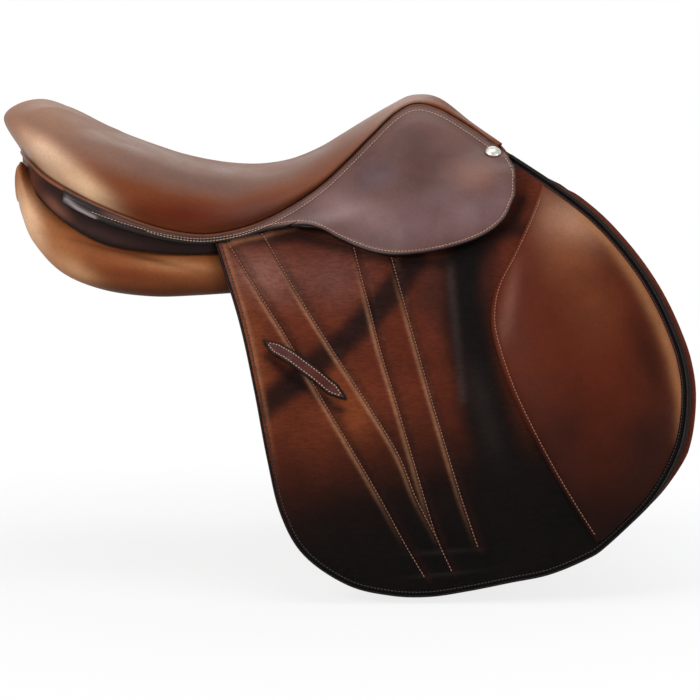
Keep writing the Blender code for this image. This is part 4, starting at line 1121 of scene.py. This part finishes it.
FLAP_SPOTS = [
    ((126, 84, 74), 0.9, (262, 276), (34, 24), 30),
    ((100, 60, 52), 0.9, (330, 278), (40, 26), 10),
    ((116, 60, 34), 0.8, (256, 350), (16, 60), -10),
    ((92, 42, 26), 0.7, (280, 345), (20, 40), -10),
    ((120, 60, 32), 0.9, (350, 408), (26, 44), -32),
    ((100, 46, 24), 0.6, (305, 440), (22, 40), -30),
    ((86, 36, 22), 0.7, (395, 370), (30, 60), -14),
    ((94, 44, 24), 0.6, (410, 420), (12, 40), -14),
    ((62, 32, 27), 0.8, (432, 290), (18, 44), -10),
]
# Trails: the stirrup leather's wear, the stain across the channels, a sheen, and two shades
WEAR_BAND = [(466, 225), (468, 320), (484, 400), (504, 480), (526, 600)]
STAIN = [(414, 262), (385, 300), (350, 336), (312, 368), (262, 408)]
SHEEN = [(449, 262), (456, 330), (463, 400)]
KEEPER_SHADE = [(268, 357), (300, 385), (340, 410)]
SKIRT_SHADE = [
    (240, 239), (300, 237), (330, 244), (360, 253), (400, 261), (440, 262), (482, 250), (512, 226),
    (522, 200),
]
# Dark worn marks, pale grey streaks near the foot, and a painted sheen on the dark band
FLAP_WEAR_AND_SHEEN_SPOTS = [
    ((60, 26, 16), 0.7, (262, 470), (10, 60), -12),
    ((54, 24, 17), 0.8, (490, 268), (8, 26), 14),
    ((44, 34, 32), 0.5, (482, 405), (12, 50), -16),
    ((38, 34, 34), 0.5, (440, 552), (32, 2.4), -4),
    ((38, 34, 34), 0.5, (446, 574), (34, 2.0), -6),
]
# Fades into dark as (column, slope, first row, last row), then the rows or columns of others
FLAP_DARKENS = (300, 0.25, 400, 530)
FLAP_BLACKENS = (300, 0.3, 500, 590)
STAIN_REAR = (252, 270)
CHANNEL_HIGHLIGHT_ENDS = (420, 560)
EDGE_HIGHLIGHT_ENDS = (330, 500)
EDGE_HIGHLIGHT_FRONT = 300
BORDER_WIDENS = (400, 540)


def paint_flap(points, flat):
    at = in_view(points)
    x, y = at[:, 0], at[:, 1]
    paint = Paint(at, (88, 38, 23)).spots(FLAP_SPOTS)
    paint.lay((22, 10, 7), fade_down(at, *FLAP_DARKENS))
    paint.lay((10, 7, 6), fade_down(at, *FLAP_BLACKENS))
    paint.lay((12, 8, 7), trail(at, WEAR_BAND, 28, 4))
    paint.lay((62, 52, 50), trail(at, SHEEN, 4.5) * 0.4)
    paint.lay((20, 10, 10), trail(at, STAIN, 14.5, 4) * ramp(x, *STAIN_REAR) * 0.9)
    paint.spots(FLAP_WEAR_AND_SHEEN_SPOTS)
    paint.lay((16, 8, 7), trail(at, KEEPER_SHADE, 5.5) * 0.7)
    paint.lay((12, 7, 6), trail(at, SKIRT_SHADE, 7.5) * 0.75)
    # Along each stitched line: a painted highlight on its left side, fading towards the foot, the line
    # itself darker, and a painted shade on its right
    light = 1 - ramp(y, *CHANNEL_HIGHLIGHT_ENDS)
    for line in LINES:
        signed, reach = line_distance(flat, line)
        paint.lay((176, 124, 92), bell(signed, -2.6, 1.9) * 0.45 * ramp(reach, 10, 90) * light)
        paint.lay((22, 11, 9), bell(signed, 0, 1.1) * 0.7)
        paint.lay((36, 17, 12), bell(signed, 3.6, 3.2) * 0.4)
    border = gap_from(flat, FLAP_BORDER)
    # A painted highlight just inside the flap's rear edge, on its upper part
    worn = (1 - ramp(y, *EDGE_HIGHLIGHT_ENDS)) * (x < EDGE_HIGHLIGHT_FRONT)
    paint.lay((160, 106, 76), bell(border, 5, 2.2) * 0.5 * worn)
    wide = 0.8 + 2.6 * ramp(x, *BORDER_WIDENS)
    paint.lay((12, 8, 8), 1 - ramp(border, wide * 0.6, wide))
    # A painted shade under the skirt's edge, along the flap's top
    paint.lay((16, 8, 7), bell(flat[:, 1], 58, 9) * 0.7)
    return paint.colours


def flap_edge(count, grow):
    """The flap's rear, foot and front edges as one line, moved outwards by grow."""
    rear, foot = curve_points(REAR_EDGE, count)[:-1], curve_points(FOOT_EDGE, count)[:-1]
    return offset_flat(np.vstack([rear, foot, curve_points(FRONT_EDGE, 2 * count)]), -grow)


def build_flap():
    u, v = edge_shares(300, 380.0), edge_shares(270, 330.0)
    flat = patch(FLAP_TOP, FOOT_EDGE, REAR_EDGE, FRONT_EDGE[::-1], u, v)
    sheet = side_sheet(
        "flap_leather_right", flat, len(v), len(u), FLAP_LEATHER, FLAP_BORDER, flap_relief(flat),
        FLAP_FINISH, paint_flap,
    )
    place_pair(sheet, "flap_{}_body", ["flap", "rear_channel", "front_channel"], "flap_leather")


def build_flap_stitches():
    """The channels' pale stitches, and the dark ones inside the flap's edge."""
    lines = []
    for line in CHANNEL_LINES:
        flat = curve_points(line, 200)
        lines.append(thread_line(flat, FLAP_LEATHER / 2 + flap_relief(flat) + 0.35))
    sewn = stitches("channel_stitches_right", lines, DULL_THREAD)
    place_pair(sewn, "flap_{}_body", [], "flap_leather")

    line = [thread_line(flap_edge(160, -EDGE_STITCHES_INSET), FLAP_LEATHER / 2 + 0.1)]
    sewn = stitches("flap_edge_stitches_right", line, DARK_THREAD, length=2.3, thick=1.0)
    place_pair(sewn, "flap_{}_body", [], "black_leather")


def build_binding():
    """The bound edge, thin round the flap's rear and foot and broad up its front."""
    count = 130
    front = ramp(np.linspace(0, 1, 2 * count), 0.05, 0.25)
    front = np.concatenate([np.zeros(2 * (count - 1)), front])
    flat = flap_edge(count, 0.5 + 1.4 * front)
    thin, broad = BINDING_WIDTHS
    path, width = on_surface(flat, 0.2), thin + (broad - thin) * front
    rolled = tube(
        "flap_binding_leather_right", path, slopes(flat), width, BINDING_HEIGHT, 12, BLACK_FINISH
    )
    place_pair(rolled, "flap_{}_body", ["flap_binding"], "black_leather")


def build_lining():
    """The thin lining behind the flap, which shows past its front edge."""
    count = 120
    front = curve_points(FRONT_EDGE, count)
    inset, proud = LINING_INSET, LINING_PROUD
    grow = np.interp(np.arange(count), [0, 30, 100, 114, 119], [-inset, proud, proud, 0.0, -inset])
    front = front - (offset_flat(front, 1) - front) * grow[:, None]
    rear = offset_flat(curve_points(REAR_EDGE, 60), inset)
    foot = offset_flat(curve_points(FOOT_EDGE, 60), inset)
    top = np.array(FLAP_TOP, float) - [0, inset]
    top[0] = rear[0]
    top[-1] = front[-1]
    foot[0] = rear[-1]
    foot[-1] = front[0]
    u, v = edge_shares(90, 370.0), edge_shares(80, 320.0)
    flat = patch(top, foot, rear, front[::-1], u, v)
    border = np.vstack([curve_points(top[::-1], 60)[:-1], rear[:-1], foot[:-1], front])
    backing = side_sheet(
        "flap_lining_leather_right", flat, len(v), len(u), LINING_LEATHER, border, 0.0,
        LINING_FINISH, None, depth=-LINING_DEPTH,
    )
    place_pair(backing, "flap_{}_body", ["flap_lining"], "panel_leather")


PAD_CREASES = [
    ((586, 250), (24, 1.8), 34),
    ((596, 256), (22, 1.6), 40),
    ((600, 244), (18, 1.6), 44),
    ((576, 262), (18, 1.6), 30),
    ((668, 418), (12, 1.8), -50),
    ((662, 430), (12, 1.8), -54),
]
# Spots on the pad: a painted highlight at its top, lighter tones below it, a painted sheen by its seam, and
# dark spots low down, partly painted shade
KNEE_LIGHT_AND_MARK_SPOTS = [
    ((168, 122, 96), 0.95, (572, 222), (30, 26), 36),
    ((120, 68, 44), 0.8, (566, 256), (24, 24), 30),
    ((104, 54, 32), 0.7, (590, 300), (30, 40), -20),
    ((46, 18, 10), 0.8, (650, 360), (13, 50), -16),
    ((54, 21, 13), 0.8, (560, 430), (40, 44), -30),
    ((110, 64, 50), 0.8, (510, 300), (7, 40), 10),
    ((34, 14, 9), 0.8, (650, 440), (30, 40), 0),
]
# A painted highlight along the pad's front edge, then painted shade towards its bottom
KNEE_EDGE_HIGHLIGHT = [(584, 214), (612, 243), (638, 280), (660, 322), (674, 360), (683, 400), (684, 440)]
KNEE_SHADE_BELOW = (600, -0.1, 390, 530)


def paint_knee(points):
    at = in_view(points)
    paint = Paint(at, (80, 32, 17)).spots(KNEE_LIGHT_AND_MARK_SPOTS)
    # Painted shade low on the pad, and a painted highlight along its front edge
    paint.lay((24, 11, 8), fade_down(at, *KNEE_SHADE_BELOW) * 0.95)
    paint.lay((164, 110, 74), trail(at, KNEE_EDGE_HIGHLIGHT, 7) * 0.75)
    return paint.colours


def build_knee_pad():
    rows, columns = 170, 84
    seam = curve_points(KNEE_SEAM[::-1], rows)
    front = offset_flat(curve_points(FRONT_EDGE, 300), KNEE_EDGE_INSET)
    first = int(np.argmin(np.linalg.norm(front[:100] - seam[0], axis=1)))
    last = 200 + int(np.argmin(np.linalg.norm(front[200:] - seam[-1], axis=1)))
    front = curve_points(front[first : last + 1], rows)
    share = 0.5 - 0.5 * np.cos(np.linspace(0, math.pi, columns))
    flat = np.vstack([seam[r] + (front[r] - seam[r]) * share[:, None] for r in range(rows)])
    ends = np.clip(np.sin(math.pi * np.linspace(0, 1, rows)), 0, 1) ** 0.6
    seat = FLAP_LEATHER / 2 + 0.1

    def rise(share, ends):
        return 1.0 + KNEE_RISE * ends * np.clip(np.sin(math.pi * share**0.85), 0, 1) ** 0.75

    relief = rise(share[None, :], ends[:, None]).reshape(-1)
    relief -= 0.6 * bell(gap_from(flat, seam), EDGE_STITCHES_INSET, 1.1)
    at = in_view(on_surface(flat))
    relief -= 0.55 * sum(spot(at, *row) for row in PAD_CREASES)
    outer, inner = on_surface(flat, seat + relief), on_surface(flat, seat)
    pad = shell("knee_pad_leather_right", outer, inner, rows, columns, PAD_FINISH, paint_knee(outer))
    place_pair(pad, "flap_{}_body", ["knee_pad"], "flap_leather", 0.9)

    run = np.linalg.norm(front - seam, axis=1)
    inward = np.minimum(0.45, EDGE_STITCHES_INSET / np.maximum(run, 1))
    line = (seam + (front - seam) * inward[:, None])[4:-8]
    lift = (rise(inward, ends) - 0.3)[4:-8]
    sewn = stitches("knee_pad_stitches_right", [thread_line(line, seat + lift)], DULL_THREAD)
    place_pair(sewn, "flap_{}_body", [], "flap_leather")


def build_keeper():
    """The strap sewn across the flap for the stirrup leather's spare end."""
    steps, wide = 120, 25
    ends = np.array(KEEPER_ENDS, float)
    way = (ends[1] - ends[0]) / np.linalg.norm(ends[1] - ends[0])
    ends = ends + np.array([-way, way])
    reach = np.linspace(0, 1, steps)
    flat = ends[0] + (ends[1] - ends[0]) * reach[:, None]
    seat, middle = FLAP_LEATHER / 2 + 0.2, 1.25
    base = np.convolve(np.pad(flap_relief(flat), 8, mode="edge"), np.ones(17) / 17, mode="valid")
    lift = KEEPER_RISE * ramp(np.minimum(reach - 0.08, 0.92 - reach), 0.0, 0.3)
    path = on_surface(flat, seat + np.maximum(base, lift) + middle)
    _, across, up = frames(path, slopes(flat))
    point = np.clip(np.minimum(reach, 1 - reach) / KEEPER_POINT, 0, 1)
    width = KEEPER_WIDTH * (0.06 + 0.94 * point**0.8)
    share = np.sin(np.linspace(-math.pi / 2, math.pi / 2, wide))
    grid = path[:, None] + across[:, None] * (share[None, :, None] * width[:, None, None] / 2)
    from_edge = (1 - np.abs(share))[None, :] * width[:, None] / 2
    half = rounded(from_edge, KEEPER_LEATHER, 1.6)[:, :, None]
    groove = 0.35 * bell(from_edge, KEEPER_STITCHES_INSET, 0.7)[:, :, None]
    outer = (grid + up[:, None] * (half - groove)).reshape(-1, 3)
    inner = (grid - up[:, None] * half).reshape(-1, 3)
    paint = Paint(in_view(outer), (74, 36, 32))
    paint.lay((14, 9, 8), 1 - ramp(from_edge.reshape(-1), 1.6, 2.3))
    strap = shell("keeper_leather_right", outer, inner, steps, wide, KEEPER_FINISH, paint.colours)
    place_pair(strap, "flap_{}_body", ["stirrup_leather_keeper"], "black_leather")
    inset = width / 2 - KEEPER_STITCHES_INSET
    keep = inset > 0.5
    lines = []
    for way in (-1, 1):
        line = path + across * (way * inset)[:, None] + up * middle
        lines.append((line[keep], up[keep]))
    sewn = stitches("keeper_stitches_right", lines, CREAM_THREAD, pitch=2.8, length=1.7, thick=0.9)
    place_pair(sewn, "flap_{}_body", [], "black_leather")


# panels

# The panel is darker towards its bottom and towards its front: painted shade
PANEL_SHADE_BELOW = (100, -0.02, 272, 296)
PANEL_SHADED = (205, 232)
# Spots on the panel: painted highlights on its rounded rear, with darker patches and a thin line of painted
# shade below them
PANEL_HIGHLIGHT_AND_SHADE_SPOTS = [
    ((226, 184, 146), 0.95, (32, 222), (12, 34), -24),
    ((150, 92, 54), 0.8, (56, 236), (14, 30), -30),
    ((204, 154, 112), 0.8, (76, 270), (26, 9), 30),
    ((104, 48, 26), 0.8, (130, 274), (44, 10), 8),
    ((176, 122, 82), 0.8, (180, 266), (40, 6), 4),
    ((70, 34, 22), 0.8, (130, 254), (60, 3), 14),
]


def paint_panel(points):
    at = in_view(points)
    paint = Paint(at, (134, 76, 42)).spots(PANEL_HIGHLIGHT_AND_SHADE_SPOTS)
    # Painted shade towards the bottom and the front
    paint.lay((46, 18, 10), fade_down(at, *PANEL_SHADE_BELOW) * 0.8)
    paint.lay((40, 17, 11), ramp(at[:, 0], *PANEL_SHADED) * 0.7)
    return paint.colours


def panel_ribs(count):
    """The panel's ribs, closed at the rear by a few that shrink, so that its end is round."""
    knots = np.array([[x, *a, *b, *c, t] for x, a, b, c, t in PANEL_RIBS], float)
    ribs = curve_points(knots, count)
    middle = (ribs[0][[1, 2]] + ribs[0][[5, 6]]) / 2
    cap = []
    for t in (0.06, 0.3, 0.55, 0.78, 0.93):
        rib = ribs[0].copy()
        rib[0] -= 3.0 * (1 - t)
        size = math.sqrt(1 - (1 - t) ** 2)
        for k in (1, 3, 5):
            rib[k : k + 2] = middle + (rib[k : k + 2] - middle) * size
        rib[7] *= size
        cap.append(rib)
    return np.vstack([cap, ribs])


def build_panels():
    ribs = panel_ribs(150)
    around = 64
    turn = 2 * math.pi * (np.arange(around) + 0.5) / around
    reach = 0.5 - 0.5 * np.copysign(np.abs(np.cos(turn)) ** 0.8, np.cos(turn))
    bulge = np.copysign(np.abs(np.sin(turn)) ** 0.8, np.sin(turn)) / 2
    steps = np.linspace(0, 1, 40)
    points = []
    for x, *places, thick in ribs:
        line = curve_points(np.array(places).reshape(3, 2), 40)
        run = headings(line)
        out = resample(np.column_stack([-run[:, 1], run[:, 0]]), steps, reach)
        ring = resample(line, steps, reach) + out * (bulge * thick)[:, None]
        points.append(np.column_stack([np.full(around, x), -ring[:, 0], ring[:, 1]]))
    points = np.vstack(points)
    faces = ring_faces(len(ribs), around)
    pad = add_mesh("panel_leather_right", points, faces, PANEL_FINISH, paint_panel(points), sharp=70)
    place_pair(pad, "saddle_body", ["panel"], "panel_leather", 0.85)


# carried-over metal, wood, webbing


FRAME_LOOKS = [
    (WOOD, ["tree", "gullet_arch"]),
    (SPRING, ["gullet_plate", "spring"]),
    (WEB, ["rear_girth_web", "front_girth_web", "rear_seat_web", "middle_seat_web", "lengthwise_seat_web"]),
    (STEEL, ["stirrup_bar", "stirrup_catch", "catch_pin"]),
    (STRAP_FINISH, ["rear_girth_strap_root", "front_girth_strap_root"]),
    (STRAP_FINISH, ["rear_girth_strap", "front_girth_strap"]),
]


def dress_frame():
    """Give the frame's own solids that stay in the scene their materials."""
    looks = {kind: material for material, kinds in FRAME_LOOKS for kind in kinds}
    for name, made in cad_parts.items():
        kind = name.removesuffix("_right").removesuffix("_left")
        if kind in looks:
            made.data.materials.clear()
            made.data.materials.append(looks[kind])


# room, light, camera

FLOOR_HEIGHT = -0.2585
# Each lamp's name, place, target, size, power and colour
LAMPS = [
    ("window", (-1.7, -2.0, 1.5), (0.05, 0, 0.0), (1.3, 1.3), 62, (1.0, 0.985, 0.96)),
    ("overhead", (0.1, -0.3, 2.2), (0.05, 0, 0.0), (1.6, 1.2), 20, (0.96, 0.98, 1.0)),
    ("front fill", (2.3, -1.9, 0.6), (0.2, 0, -0.05), (1.0, 1.2), 14, (1.0, 0.97, 0.93)),
    ("back", (0.0, 2.3, 1.6), (0.0, 0, 0.0), (1.6, 1.2), 9, (1, 1, 1)),
]


def area_light(name, at, target, size, power, colour):
    data = bpy.data.lights.new(name, "AREA")
    data.shape = "RECTANGLE"
    data.size, data.size_y = size
    data.energy = power
    data.color = colour
    lamp = bpy.data.objects.new(name, data)
    bpy.context.scene.collection.objects.link(lamp)
    lamp.location = at
    lamp.rotation_euler = (Vector(target) - Vector(at)).to_track_quat("-Z", "Y").to_euler()


def sees_white(tree):
    """1 for the rays that show the plain background: seen directly, mirrored or through glass."""
    path = node(tree, "ShaderNodeLightPath").outputs
    indirect = combine(tree, "MAXIMUM", path["Is Glossy Ray"], path["Is Transmission Ray"])
    return combine(tree, "MAXIMUM", path["Is Camera Ray"], indirect)


def blend(tree, share, first, second):
    """The mix of two shader nodes, going from the first to the second by a share."""
    made = node(tree, "ShaderNodeMixShader", Fac=share)
    tree.links.new(first.outputs[0], made.inputs[1])
    tree.links.new(second.outputs[0], made.inputs[2])
    return made.outputs[0]


def build_world(scene):
    world = bpy.data.worlds.new("studio")
    scene.world = world
    world.use_nodes = True
    tree = world.node_tree
    tree.nodes.clear()
    ambient = node(tree, "ShaderNodeBackground", Color=(0.92, 0.96, 1.0, 1), Strength=0.26)
    white = node(tree, "ShaderNodeBackground", Color=(1, 1, 1, 1), Strength=1.0)
    node(tree, "ShaderNodeOutputWorld", Surface=blend(tree, sees_white(tree), ambient, white))


def build_floor():
    """A pale floor that shows the saddle's shadow and fades to plain white around it."""
    bpy.ops.mesh.primitive_plane_add(size=12, location=(0, 0, FLOOR_HEIGHT))
    floor = bpy.context.active_object
    floor.name = "floor"
    made, tree, shader = plain("floor", 0.9, specular=0.0)
    shader.inputs["Base Color"].default_value = (0.8, 0.8, 0.8, 1)
    glow = node(tree, "ShaderNodeEmission", Color=(1, 1, 1, 1), Strength=1.0)
    far = node(tree, "ShaderNodeVectorMath", operation="LENGTH", Vector=object_place(tree))
    share = map_range(tree, far.outputs["Value"], 0.2, 0.7, 0.8, 1.0)
    seen = combine(tree, "MULTIPLY", sees_white(tree), share)
    tree.links.new(blend(tree, seen, shader, glow), tree.nodes["Material Output"].inputs["Surface"])
    floor.data.materials.append(made)


def build_room():
    scene = bpy.context.scene
    scene.view_settings.view_transform = "Standard"
    build_world(scene)
    build_floor()
    for lamp in LAMPS:
        area_light(*lamp)

    data = bpy.data.cameras.new("camera")
    data.sensor_width = 36
    data.lens = data.sensor_width * VIEW_RANGE / (VIEW_PIXELS * VIEW_SCALE)
    camera = bpy.data.objects.new("camera", data)
    scene.collection.objects.link(camera)
    target = Vector((VIEW_MIDDLE[0] * MM, 0, VIEW_MIDDLE[1] * MM))
    away = Vector((0, -math.cos(VIEW_TILT), math.sin(VIEW_TILT)))
    camera.location = target + away * VIEW_RANGE * MM
    camera.rotation_euler = (target - camera.location).to_track_quat("-Z", "Y").to_euler()
    scene.camera = camera


build_room()
build_seat()
build_foam()
build_welt()
build_facings()
build_skirt()
build_skirt_lobe()
build_skirt_tongue()
build_skirt_stitches()
build_nail()
build_flap()
build_flap_stitches()
build_binding()
build_lining()
build_knee_pad()
build_keeper()
build_panels()
dress_frame()
